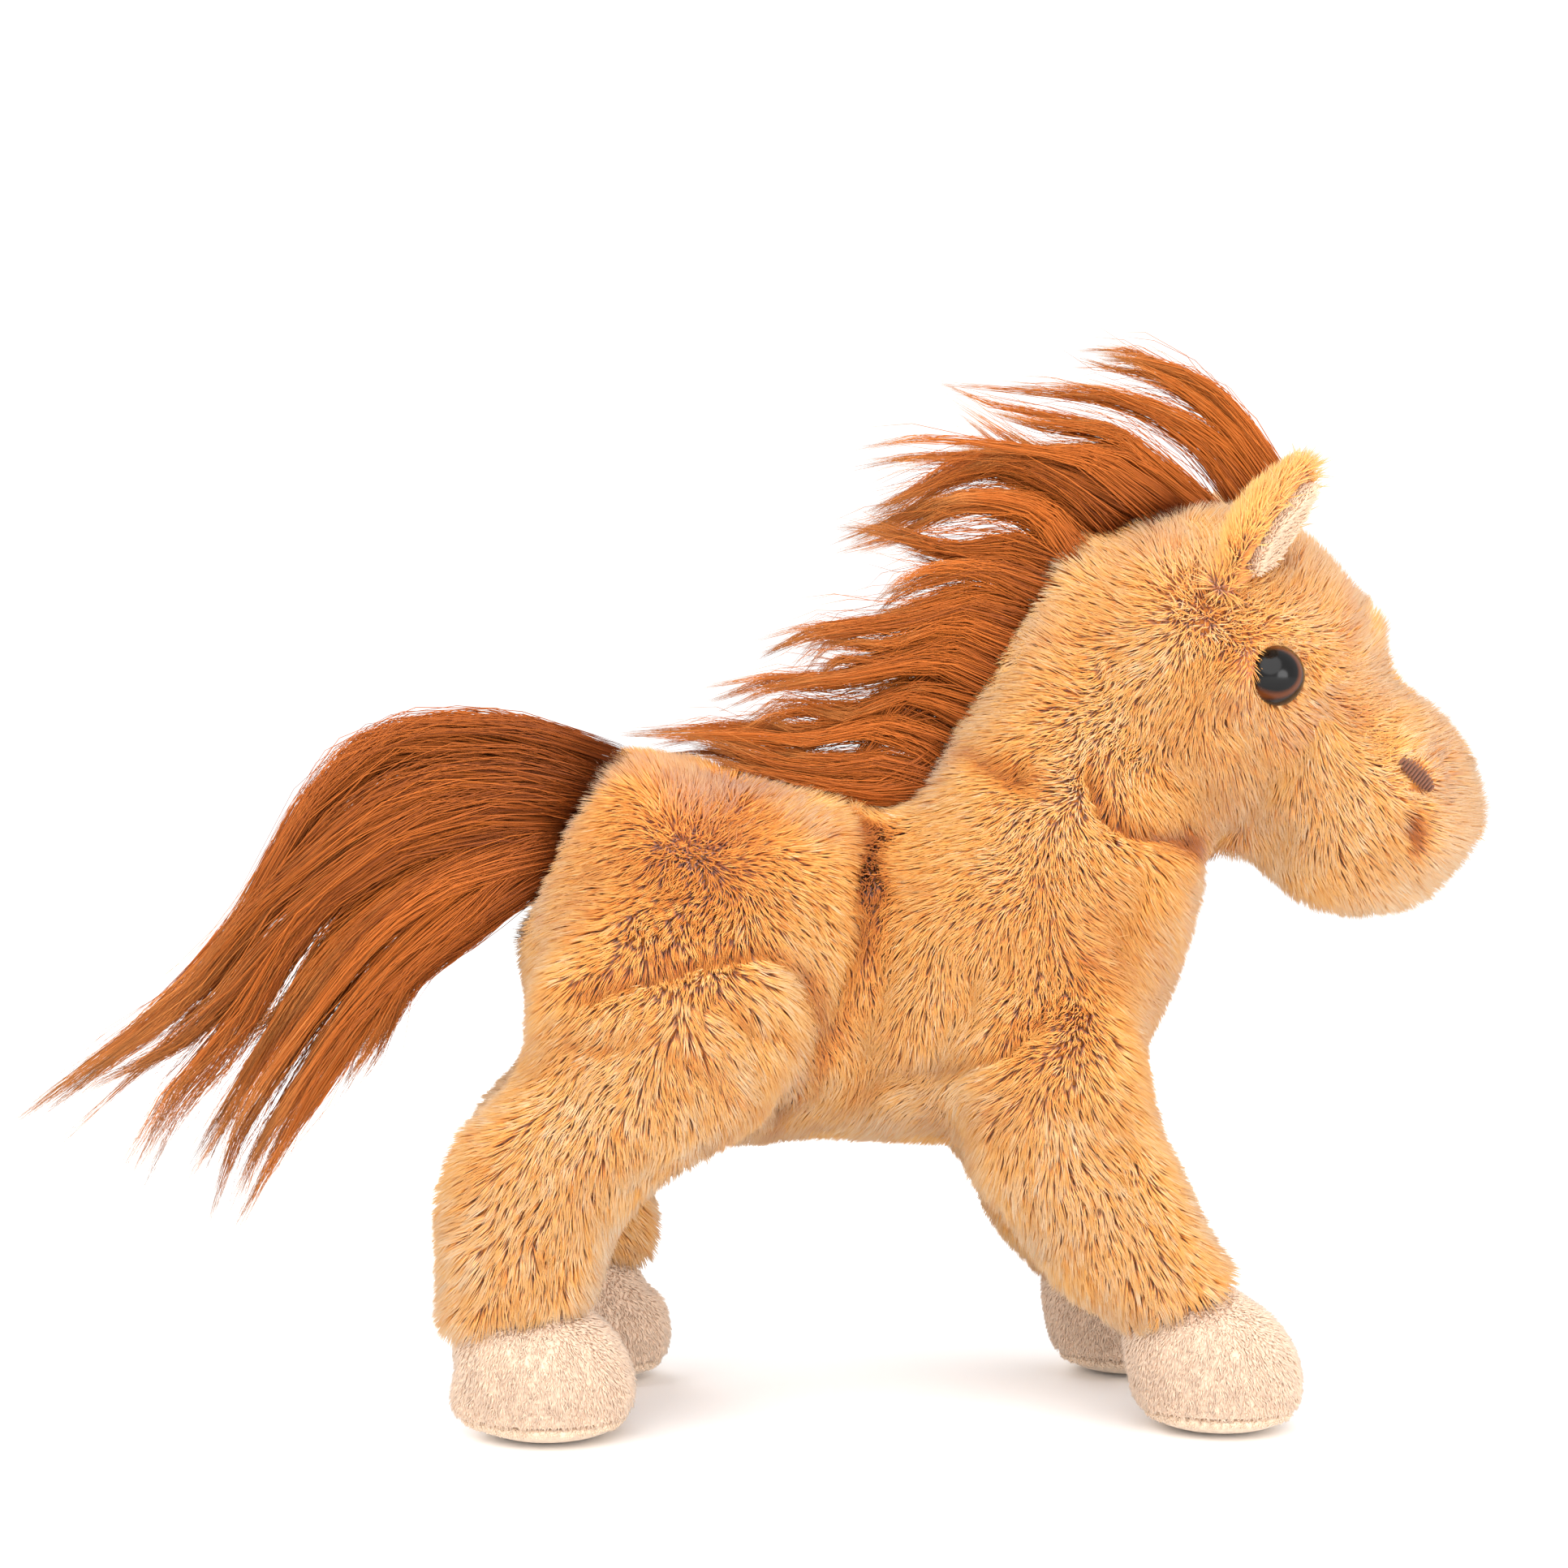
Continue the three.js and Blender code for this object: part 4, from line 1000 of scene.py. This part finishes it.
def sew_coat(node, parts, seed, fasten):
    """A panel of the skin and its pile, in so many pieces."""
    surface = skin()[0]
    backing = panel(f"{node}_skin", node)
    backing.data.materials.append(backing_finish())
    fasten(backing)
    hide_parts(node)
    faces = coated_faces(node)
    density = settings()[0].density / parts
    for part in range(parts):
        name = f"{node}_pile" if parts == 1 else f"{node}_pile_{part + 1}"
        coat = pile_coat(name, surface, faces, density, seed + part)
        coat.data.materials.append(pile_finish())
        fasten(coat)


class HORSE_OT_body(bpy.types.Operator):
    """Sew the body's skin and its pile"""

    bl_idname = "horse.body"
    bl_label = "Body"

    def execute(self, context):
        sew_coat("body", 3, 11, fasten_neck)
        return {"FINISHED"}


class HORSE_OT_head(bpy.types.Operator):
    """Sew the head's skin and its pile"""

    bl_idname = "horse.head"
    bl_label = "Head"

    def execute(self, context):
        sew_coat("head", 2, 21, fasten_neck)
        return {"FINISHED"}


class HORSE_OT_legs(bpy.types.Operator):
    """Sew the four legs' skins and their pile"""

    bl_idname = "horse.legs"
    bl_label = "Legs"

    def execute(self, context):
        for index, leg in enumerate(LEGS):
            sew_coat(leg, 1, 31 + index, functools.partial(fasten_leg, leg=leg))
        return {"FINISHED"}


def pointing(points, way):
    """The same way at every point."""
    return np.tile(way, (len(points), 1))


def facing(points, normals, way):
    """True where a surface faces a way."""
    return normals @ way > 0.55


def short_pile(name, obj, length, density, seed, along, skip=None, width=0.42, tone=0.62, lift=0.5):
    """Short pile on a whole piece."""
    rng = np.random.default_rng(seed)
    roots, normals = scattered(surface_of(obj.data), None, density, rng)
    if skip is not None:
        kept = ~skip(roots, normals)
        roots, normals = roots[kept], normals[kept]
    count = len(roots)
    lay = laid_down(along(roots) + rng.normal(scale=0.35, size=(count, 3)), normals)
    low = np.clip(roots[:, 2] / 9, 0.35, 1)
    rise = length * lift * low * rng.uniform(0.6, 1.1, count)
    run = length * 0.8 * low * rng.uniform(0.6, 1.2, count)
    tips = roots + normals * rise[:, None] + lay * run[:, None]
    return tufted(name, roots, tips, normals, rng, 6, 0.25, width, 0.2, tone, 0.035)


def soft_copy(name, node, voxel, inset, seam=None):
    """A smooth padded copy of a CAD node, drawn in to leave room for its pile.

    A seam is two heights between which the piece isn't drawn up or down, and such a piece swells too.
    """
    obj = remeshed(joined_copy(name, [node]), voxel)
    before = points_of(obj.data)
    smoothed(obj.data, 3)
    drawn = points_of(obj.data)
    heights = drawn[:, 2].copy()
    drawn -= normals_of(obj.data) * inset
    if seam:
        kept = (heights > seam[0]) & (heights < seam[1])
        drawn[kept, 2] = before[kept, 2]
        drawn = swelled(drawn)
    put_points(obj.data, drawn)
    obj.data.shade_smooth()
    return obj


@made_once
def short_finish(name, colour):
    """Finish of short pale pile, with painted shade a little darker towards the roots."""
    deep, dark = (tuple(c * share for c in colour) for share in (0.45, 0.74))
    light = tuple(min(1, c * 1.12) for c in colour)
    tones = [(0.0, deep), (0.3, dark), (0.6, colour), (1.0, light)]
    # Painted shade: a strand is a little darker at its root.
    return strand_material(name, tones, [(0.0, (0.94, 0.91, 0.88)), (0.7, (1, 1, 1))], 0.9, 0.2)


class HORSE_OT_hooves(bpy.types.Operator):
    """Make the four hooves and their soles in short pale pile"""

    bl_idname = "horse.hooves"
    bl_label = "Hooves"

    def execute(self, context):
        trim = settings()[2]
        kinds = [
            ("hoof", tuple(trim.hoof_colour), 0.9, hoof_ends),
            ("sole", tuple(trim.sole_colour), 0.7, sole_faces),
        ]
        for index, leg in enumerate(LEGS):
            for kind, colour, inset, hidden in kinds:
                make_hoof_piece(leg, kind, colour, inset, hidden, index)
        return {"FINISHED"}


def make_hoof_piece(leg, kind, colour, inset, hidden, index):
    """One hoof or sole: its padded shape and its short pile."""
    node = leg.replace("leg", kind)
    piece = soft_copy(f"{node}_skin", node, 1.3, inset, HOOF_SEAM)
    piece.data.materials.append(woven_finish(f"{kind} backing {index}", tuple(c * 0.95 for c in colour)))
    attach(piece, leg)
    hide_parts(node)
    falling = functools.partial(pointing, way=(0.0, 0.0, -1.0))
    length = settings()[2].hoof_pile / MM
    coat = short_pile(f"{node}_pile", piece, length, HOOF_PILE_DENSITY, 61 + index, falling, hidden)
    coat.data.materials.append(short_finish(f"{kind} pile", colour))
    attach(coat, leg)


def hoof_ends(points, normals):
    """The top and bottom of a hoof, hidden in the cuff and on the sole."""
    return (np.abs(normals[:, 2]) > 0.8) & ((points[:, 2] < 8) | (points[:, 2] > 27))


def sole_faces(points, normals):
    """The hidden top and the worn flat bottom of a sole."""
    return np.abs(normals[:, 2]) > 0.75


class HORSE_OT_ears(bpy.types.Operator):
    """Make both ears with their linings"""

    bl_idname = "horse.ears"
    bl_label = "Ears"

    def execute(self, context):
        colour = tuple(settings()[2].lining_colour)
        for index, (side, sign) in enumerate(SIDES.items()):
            upward = functools.partial(pointing, way=mirrored(EAR_BLADE, sign))
            inner = functools.partial(facing, way=mirrored(EAR_OPEN, sign))
            ear = soft_copy(f"ear_{side}_skin", f"ear_{side}", 1.2, 0.6)
            ear.data.transform(ear_place(sign))
            ear.data.materials.append(backing_finish())
            coat = short_pile(f"ear_{side}_pile", ear, 8, 6, 81 + index, upward, inner, 0.55, 0.6, 0.42)
            coat.data.materials.append(pile_finish())
            lining = soft_copy(f"ear_lining_{side}_skin", f"ear_lining_{side}", 0.8, 0)
            lining.data.transform(ear_place(sign))
            lining.data.materials.append(woven_finish(f"lining backing {side}", colour))
            nap = short_pile(f"ear_lining_{side}_pile", lining, 2.2, 6, 91 + index, upward)
            nap.data.materials.append(short_finish("lining pile", colour))
            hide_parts(f"ear_{side}")
            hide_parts(f"ear_lining_{side}")
            for slot, pieces in (("tan_pile", (ear, coat)), ("lining_pile", (lining, nap))):
                for piece in pieces:
                    fasten_ear(piece)
        return {"FINISHED"}


def ear_place(sign):
    """The matrix that settles an ear into the pile and lets it grow from its root."""
    root = Matrix.Translation(Vector(mirrored(EAR_ROOT, sign)) * MM)
    sunk = Matrix.Translation(Vector(mirrored(EAR_SINK, sign)) * MM)
    return sunk @ root @ Matrix.Scale(EAR_GROWTH, 4) @ root.inverted()


def fasten_ear(piece):
    """Bakes a piece's place into its mesh."""
    blended(piece)


def smooth_line(points, count):
    """A smooth line through points, with so many even steps."""
    points = np.array(points, float)
    ends = np.vstack([2 * points[0] - points[1], points, 2 * points[-1] - points[-2]])
    found = []
    for share in np.linspace(0, len(points) - 1, 12 * len(points)):
        at = min(int(share), len(points) - 2)
        t = share - at
        a, b, c, d = ends[at:at + 4]
        bend = (2 * a - 5 * b + 4 * c - d) * t ** 2 + (3 * b - a - 3 * c + d) * t ** 3
        found.append(0.5 * (2 * b + (c - a) * t + bend))
    found = np.array(found)
    length = np.concatenate([[0], np.linalg.norm(np.diff(found, axis=0), axis=1).cumsum()])
    even = np.linspace(0, length[-1], count)
    return np.stack([np.interp(even, length, found[:, axis]) for axis in range(found.shape[1])], axis=1)


def planted(points):
    """Where a lock's roots lie, a little inside the skin, back along its own way."""
    first, second = np.array(points[0]), np.array(points[1])
    return first + unit(first - second) * HAIR_DEPTH


def read_places(part, points):
    """Places in an enlarged part of the photograph in millimetres, seen from the side, to a tenth."""
    left, top, width = part
    places = []
    for across, down in points:
        forward = (left + across * width / READ_WIDTH - PHOTO_SIZE / 2) / PIXELS_PER_MM
        below = (top + down * width / READ_WIDTH - PHOTO_SIZE / 2) / PIXELS_PER_MM
        places.append((round(CAMERA_TARGET[0] + forward, 1), round(CAMERA_TARGET[2] - below, 1)))
    return places


def lock_lines(part, locks, root_width, tip_width, inset):
    """The middle lines of locks, drawn in by a share of their width towards the middle of all."""
    read = [read_places(part, points) for _, points in locks]
    lines = np.stack([smooth_line([planted(points), *points], LOCK_LEVELS) for points in read])
    middle = lines.mean(axis=0)
    thick = root_width * (1 - np.linspace(0, 1, LOCK_LEVELS)) ** 0.9 + tip_width
    return lines + unit(middle - lines) * thick[None, :, None] * inset


Wisps = collections.namedtuple("Wisps", "reach side across wave pace phase tone split")


def parted_wisps(count, across, rng):
    """How each wisp runs: its length, sides, sway, tone and where its end turns."""
    reach = rng.uniform(0.6, 1.0, count)
    reach[::WISPS] = 1
    return Wisps(
        reach=reach,
        side=rng.uniform(-1, 1, (2, count)),
        across=across * rng.uniform(-1, 1, count),
        wave=rng.uniform(0.2, 2.2, count),
        pace=rng.uniform(4, 9, count),
        phase=rng.random(count) * 6.3,
        tone=rng.normal(scale=0.2, size=count),
        split=rng.normal(scale=WISP_SPLIT, size=count),
    )


def strand_middles(lines, own, loose, t, rng):
    """Where strands run in the side view along their own lock, drawn to the next one at the root."""
    count = len(own)
    neighbour = np.clip(own + rng.choice([-1, 1], count), 0, len(lines) - 1)
    mixing = 0.5 * (1 - t) ** 2 * rng.random(count)[:, None]
    mixing = np.where(loose[:, None], rng.random(count)[:, None] * 0.5, mixing)[:, :, None]
    place = t * (lines.shape[1] - 1)
    low = np.minimum(place.astype(int), lines.shape[1] - 2)
    part = (place - low)[:, :, None]

    def along(which):
        rows = which[:, None]
        return lines[rows, low] * (1 - part) + lines[rows, low + 1] * part

    return along(own) * (1 - mixing) + along(neighbour) * mixing


def strand_offsets(wisps, wisp, loose, t, root_width, tip_width, rng):
    """How far strands lie off their middles, in the side view and towards the left."""
    count = len(wisp)
    angle = rng.random(count)[:, None] * math.tau
    spot = np.sqrt(rng.random(count))[:, None]
    width = root_width * (1 - t) ** 0.9 + tip_width * 0.7
    wisp_width = 0.5 * root_width * (1 - t) ** 0.8 + 0.2
    sway = wisps.wave[wisp, None] * t * np.sin(wisps.pace[wisp, None] * t + wisps.phase[wisp, None])
    stray = np.where(loose, rng.normal(scale=3.2, size=count), rng.normal(scale=0.25, size=count))
    side = wisps.side[0, wisp, None] * (1 - t) + wisps.side[1, wisp, None] * t
    curl = np.where(loose, 1.8, rng.uniform(0, 0.8, count))[:, None]
    curl = curl * np.sin(rng.uniform(6, 13, count)[:, None] * t + angle) * t ** 0.5
    inside = side * width * 0.8 + spot * np.cos(angle) * wisp_width + sway + stray[:, None] * t ** 2
    inside = inside + curl + wisps.split[wisp, None] * t ** 2.5
    drift = np.where(loose, rng.normal(scale=3, size=count), 0)[:, None] * t ** 2
    outside = wisps.across[wisp, None] * (0.8 + 0.2 * np.sin(t * 2.4))
    outside = outside + spot * np.sin(angle) * wisp_width * 1.5 + sway * 0.8 + drift
    return inside, outside


def long_hair(name, part, locks, count, seed, root_width, tip_width, across, tone, inset=0.0):
    """Long hair along locks: the strands of a lock part into wisps, and a few fly loose."""
    rng = np.random.default_rng(seed)
    lines = lock_lines(part, locks, root_width, tip_width, inset)
    share = np.array([lock[0] for lock in locks])
    own = rng.choice(len(locks), count, p=share / share.sum())
    wisp = own * WISPS + rng.integers(0, WISPS, count)
    wisps = parted_wisps(len(locks) * WISPS, across, rng)
    loose = rng.random(count) < LOOSE_SHARE
    reach = wisps.reach[wisp] * (1 - 0.5 * rng.random(count) ** 1.8)
    t = np.linspace(0, 1, HAIR_LEVELS)[None, :] * reach[:, None]
    flat = strand_middles(lines, own, loose, t, rng)
    tangent = unit(np.gradient(flat, axis=1))
    inside, outside = strand_offsets(wisps, wisp, loose, t, root_width, tip_width, rng)
    forward = flat[:, :, 0] - tangent[:, :, 1] * inside
    upward = flat[:, :, 1] + tangent[:, :, 0] * inside
    places = np.stack([forward, outside, upward], axis=2)
    widths = np.zeros((count, HAIR_LEVELS))
    widths[:, 1:-1] = settings()[1].strand_width / MM * np.linspace(1, 0.5, HAIR_LEVELS - 2)
    widths *= rng.uniform(0.7, 1.15, count)[:, None]
    tones = np.clip(tone + rng.normal(scale=0.17, size=count) + wisps.tone[wisp], 0, 1)
    obj = strands(name, places, widths, tones, np.tile([0.1, 1.0, 0.1], (count, 1)))
    obj.data.materials.append(hair_finish())
    return obj


class HORSE_OT_mane(bpy.types.Operator):
    """Plant the mane along the crest of the neck"""

    bl_idname = "horse.mane"
    bl_label = "Mane"

    def execute(self, context):
        count = settings()[1].mane_strands // 2
        for part in (1, 2):
            piece = long_hair(
                f"mane_hair_{part}",
                MANE_PART,
                MANE_LOCKS,
                count,
                100 + part,
                root_width=3.3,
                tip_width=0.4,
                across=9,
                tone=0.52,
            )
            fasten_neck(piece)
            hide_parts("mane")
        return {"FINISHED"}


class HORSE_OT_forelock(bpy.types.Operator):
    """Plant the forelock between the ears"""

    bl_idname = "horse.forelock"
    bl_label = "Forelock"

    def execute(self, context):
        count = settings()[1].forelock_strands
        piece = long_hair(
            "forelock_hair",
            FORELOCK_PART,
            FORELOCK_LOCKS,
            count,
            110,
            root_width=1.9,
            tip_width=0.3,
            across=5,
            tone=0.66,
        )
        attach(piece, "head")
        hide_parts("forelock")
        return {"FINISHED"}


class HORSE_OT_tail(bpy.types.Operator):
    """Plant the tail on the rump"""

    bl_idname = "horse.tail"
    bl_label = "Tail"

    def execute(self, context):
        count = settings()[1].tail_strands // 3
        for part in (1, 2, 3):
            piece = long_hair(
                f"tail_hair_{part}",
                TAIL_PART,
                TAIL_LOCKS,
                count,
                120 + part,
                root_width=4.8,
                tip_width=0.7,
                across=14,
                tone=0.32,
                inset=0.8,
            )
            blended(piece)
            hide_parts("tail")
        return {"FINISHED"}


def turned(place, out):
    """The matrix that takes a piece made along +Z to its place, facing out."""
    turn = Vector(out).to_track_quat("Z", "Y").to_matrix().to_4x4()
    return Matrix.Translation(Vector(place) * MM) @ turn


def spun(name, profile, steps):
    """A closed shape spun from a profile of radius and height, in millimetres."""
    bm = bmesh.new()
    verts = [bm.verts.new((r * MM, 0, z * MM)) for r, z in profile]
    edges = [bm.edges.new(pair) for pair in zip(verts, verts[1:])]
    bmesh.ops.spin(
        bm, geom=verts + edges, cent=(0, 0, 0), axis=(0, 0, 1), angle=math.tau, steps=steps, use_merge=True
    )
    bmesh.ops.remove_doubles(bm, verts=bm.verts, dist=0.001 * MM)
    bmesh.ops.recalc_face_normals(bm, faces=bm.faces)
    return object_from(name, bm)


def eye_finish():
    """Domed plastic eye: black pupil, amber ring and dark rim under a clear gloss."""
    amber = tuple(settings()[2].iris_colour)
    material, tree, surface = shader("eye plastic", 0.18, 0, 0.26)
    ring = tree.nodes.new("ShaderNodeAttribute")
    ring.attribute_name = "ring"
    black, rim = (0.002, 0.0015, 0.0015), (0.006, 0.003, 0.002)
    dim = tuple(c * 0.4 for c in amber)
    shade = ramp(
        tree, [(0.0, black), (0.66, black), (0.72, dim), (0.8, amber), (0.88, amber), (0.95, dim), (1.0, rim)]
    )
    tree.links.new(ring.outputs["Fac"], shade.inputs["Fac"])
    tree.links.new(shade.outputs["Color"], surface.inputs["Base Color"])
    return material


class HORSE_OT_eyes(bpy.types.Operator):
    """Turn both domed eyes with their shanks"""

    bl_idname = "horse.eyes"
    bl_label = "Eyes"

    def execute(self, context):
        finish = eye_finish()
        radius, crown, rim, shank, tail = 6.0, 4.4, 1.0, 1.9, 9.4
        ball = (radius ** 2 + crown ** 2) / (2 * crown)
        sweep = math.asin(radius / ball)
        dome = [
            (ball * math.sin(sweep * i / 14), rim + crown - ball + ball * math.cos(sweep * i / 14))
            for i in range(15)
        ]
        profile = dome + [(radius, 0.25), (radius - 0.25, 0), (shank, 0), (shank, -tail), (0, -tail)]
        for side, sign in SIDES.items():
            eye = spun(f"eye_dome_{side}", profile, 48)
            ring = eye.data.attributes.new("ring", "FLOAT", "POINT")
            flat = points_of(eye.data)[:, :2] - (sign * PUPIL_BACK, PUPIL_UP)
            ring.data.foreach_set("value", (np.hypot(*flat.T) / radius).astype(np.float32))
            eye.data.transform(turned(mirrored(EYE_PLACE, sign), mirrored(EYE_OUT, sign)))
            eye.data.shade_smooth()
            eye.data.materials.append(finish)
            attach(eye, "head")
            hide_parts(f"eye_{side}")
            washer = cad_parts[f"eye_washer_{side}"]
            washer.data.materials.clear()
            washer.data.materials.append(moulded_finish(f"washer plastic {side}"))
        return {"FINISHED"}


def moulded_finish(name):
    """Plain moulded plastic with faint flow marks."""
    material, tree, surface = shader(name, 0.4, 0, 0.5)
    grained(tree, surface, 180, [(0.35, linear((214, 212, 206))), (0.65, linear((236, 234, 230)))])
    return material


class HORSE_OT_nostrils(bpy.types.Operator):
    """Stitch both nostrils in brown thread"""

    bl_idname = "horse.nostrils"
    bl_label = "Nostrils"

    def execute(self, context):
        trim = settings()[2]
        finish = woven_finish("nostril thread", tuple(trim.thread_colour), 2400, 0.4, 0.55)
        for side, sign in SIDES.items():
            piece = object_from(f"nostril_stitches_{side}", stitched(sign, trim.stitches))
            piece.data.shade_smooth()
            piece.data.materials.append(finish)
            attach(piece, "head")
            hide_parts(f"nostril_{side}")
        return {"FINISHED"}


def stitched(sign, count):
    """The stitches of one nostril, side by side along it and longest in its middle."""
    place = mirrored(NOSTRIL_PLACE, sign)
    along = unit(mirrored(NOSTRIL_ALONG, sign))
    out = unit(mirrored(NOSTRIL_OUT, sign))
    over = np.cross(out, along)
    bm = bmesh.new()
    for index in range(count):
        share = (index + 0.5) / count * 2 - 1
        half = STITCH_HALF * math.sqrt(max(0.05, 1 - share ** 2 * 0.9))
        centre = place + along * share * NOSTRIL_HALF + out * (0.4 - 0.5 * share ** 2)
        axes = np.stack([along * 0.36, over * half, out * 0.8], axis=1)
        made = bmesh.ops.create_uvsphere(bm, u_segments=8, v_segments=6, radius=1)["verts"]
        matrix = Matrix.Translation(Vector(centre) * MM) @ Matrix((axes * MM).tolist()).to_4x4()
        bmesh.ops.transform(bm, matrix=matrix, verts=made)
    bmesh.ops.recalc_face_normals(bm, faces=bm.faces)
    return bm


class HORSE_OT_stage(bpy.types.Operator):
    """Set the floor, the soft lights and the camera"""

    bl_idname = "horse.stage"
    bl_label = "Stage"

    def execute(self, context):
        stage = settings()[3]
        bm = bmesh.new()
        bmesh.ops.create_grid(bm, x_segments=12, y_segments=12, size=FLOOR_REACH)
        floor = object_from("floor", bm)
        material, _, surface = shader("pale floor", 0.9, 0, 0.1)
        surface.inputs["Base Color"].default_value = (*stage.floor_colour, 1)
        floor.data.materials.append(material)
        for name, place, size, share in LIGHTS:
            add_light(name, place, size, stage.key * share)
        world = bpy.data.worlds.new("studio")
        world.use_nodes = True
        sky = world.node_tree.nodes["Background"]
        sky.inputs["Color"].default_value = (1, 1, 1, 1)
        sky.inputs["Strength"].default_value = stage.sky
        context.scene.world = world
        context.scene.view_settings.view_transform = "Standard"
        add_camera()
        return {"FINISHED"}


def add_light(name, place, size, power):
    """A soft round light that looks at the horse."""
    data = bpy.data.lights.new(name, "AREA")
    data.shape = "DISK"
    data.size = size
    data.energy = power
    light = bpy.data.objects.new(name, data)
    bpy.context.scene.collection.objects.link(light)
    light.location = place
    light.rotation_euler = (Vector((0, 0, 0.12)) - Vector(place)).to_track_quat("-Z", "Y").to_euler()


def add_camera():
    """The camera at the photograph's angle, level and undistorted."""
    data = bpy.data.cameras.new("camera")
    data.sensor_width = SENSOR_WIDTH
    data.lens = PIXELS_PER_MM * CAMERA_DISTANCE * SENSOR_WIDTH / PHOTO_SIZE
    camera = bpy.data.objects.new("camera", data)
    bpy.context.scene.collection.objects.link(camera)
    turn = math.radians(CAMERA_TURN)
    looking = Vector((math.sin(turn), math.cos(turn), 0))
    camera.location = (Vector(CAMERA_TARGET) - looking * CAMERA_DISTANCE) * MM
    camera.rotation_euler = looking.to_track_quat("-Z", "Y").to_euler()
    data.clip_start = 0.01
    bpy.context.scene.camera = camera


STEPS = (
    HORSE_OT_stage,
    HORSE_OT_body,
    HORSE_OT_head,
    HORSE_OT_legs,
    HORSE_OT_hooves,
    HORSE_OT_ears,
    HORSE_OT_mane,
    HORSE_OT_forelock,
    HORSE_OT_tail,
    HORSE_OT_eyes,
    HORSE_OT_nostrils,
)


class HORSE_PT_panel(bpy.types.Panel):
    """The steps that make the plush horse"""

    bl_idname = "HORSE_PT_panel"
    bl_label = "Plush Horse"
    bl_space_type = "VIEW_3D"
    bl_region_type = "UI"
    bl_category = "Plush Horse"

    def draw(self, context):
        column = self.layout.column(align=True)
        for step in STEPS:
            column.operator(step.bl_idname)


GROUPS = {
    "horse_pile": HorsePileSettings,
    "horse_hair": HorseHairSettings,
    "horse_trim": HorseTrimSettings,
    "horse_stage": HorseStageSettings,
}


def register():
    """Adds the settings, steps and panel to Blender."""
    for name, group in GROUPS.items():
        bpy.utils.register_class(group)
        setattr(bpy.types.Scene, name, bpy.props.PointerProperty(type=group))
    for step in (*STEPS, HORSE_PT_panel):
        bpy.utils.register_class(step)


def unregister():
    """Takes them out again."""
    for step in reversed((*STEPS, HORSE_PT_panel)):
        bpy.utils.unregister_class(step)
    for name, group in GROUPS.items():
        delattr(bpy.types.Scene, name)
        bpy.utils.unregister_class(group)


def main():
    """Makes the whole horse, step by step."""
    register()
    for step in STEPS:
        family, name = step.bl_idname.split(".")
        getattr(getattr(bpy.ops, family), name)()


if __name__ == "__main__":
    main()
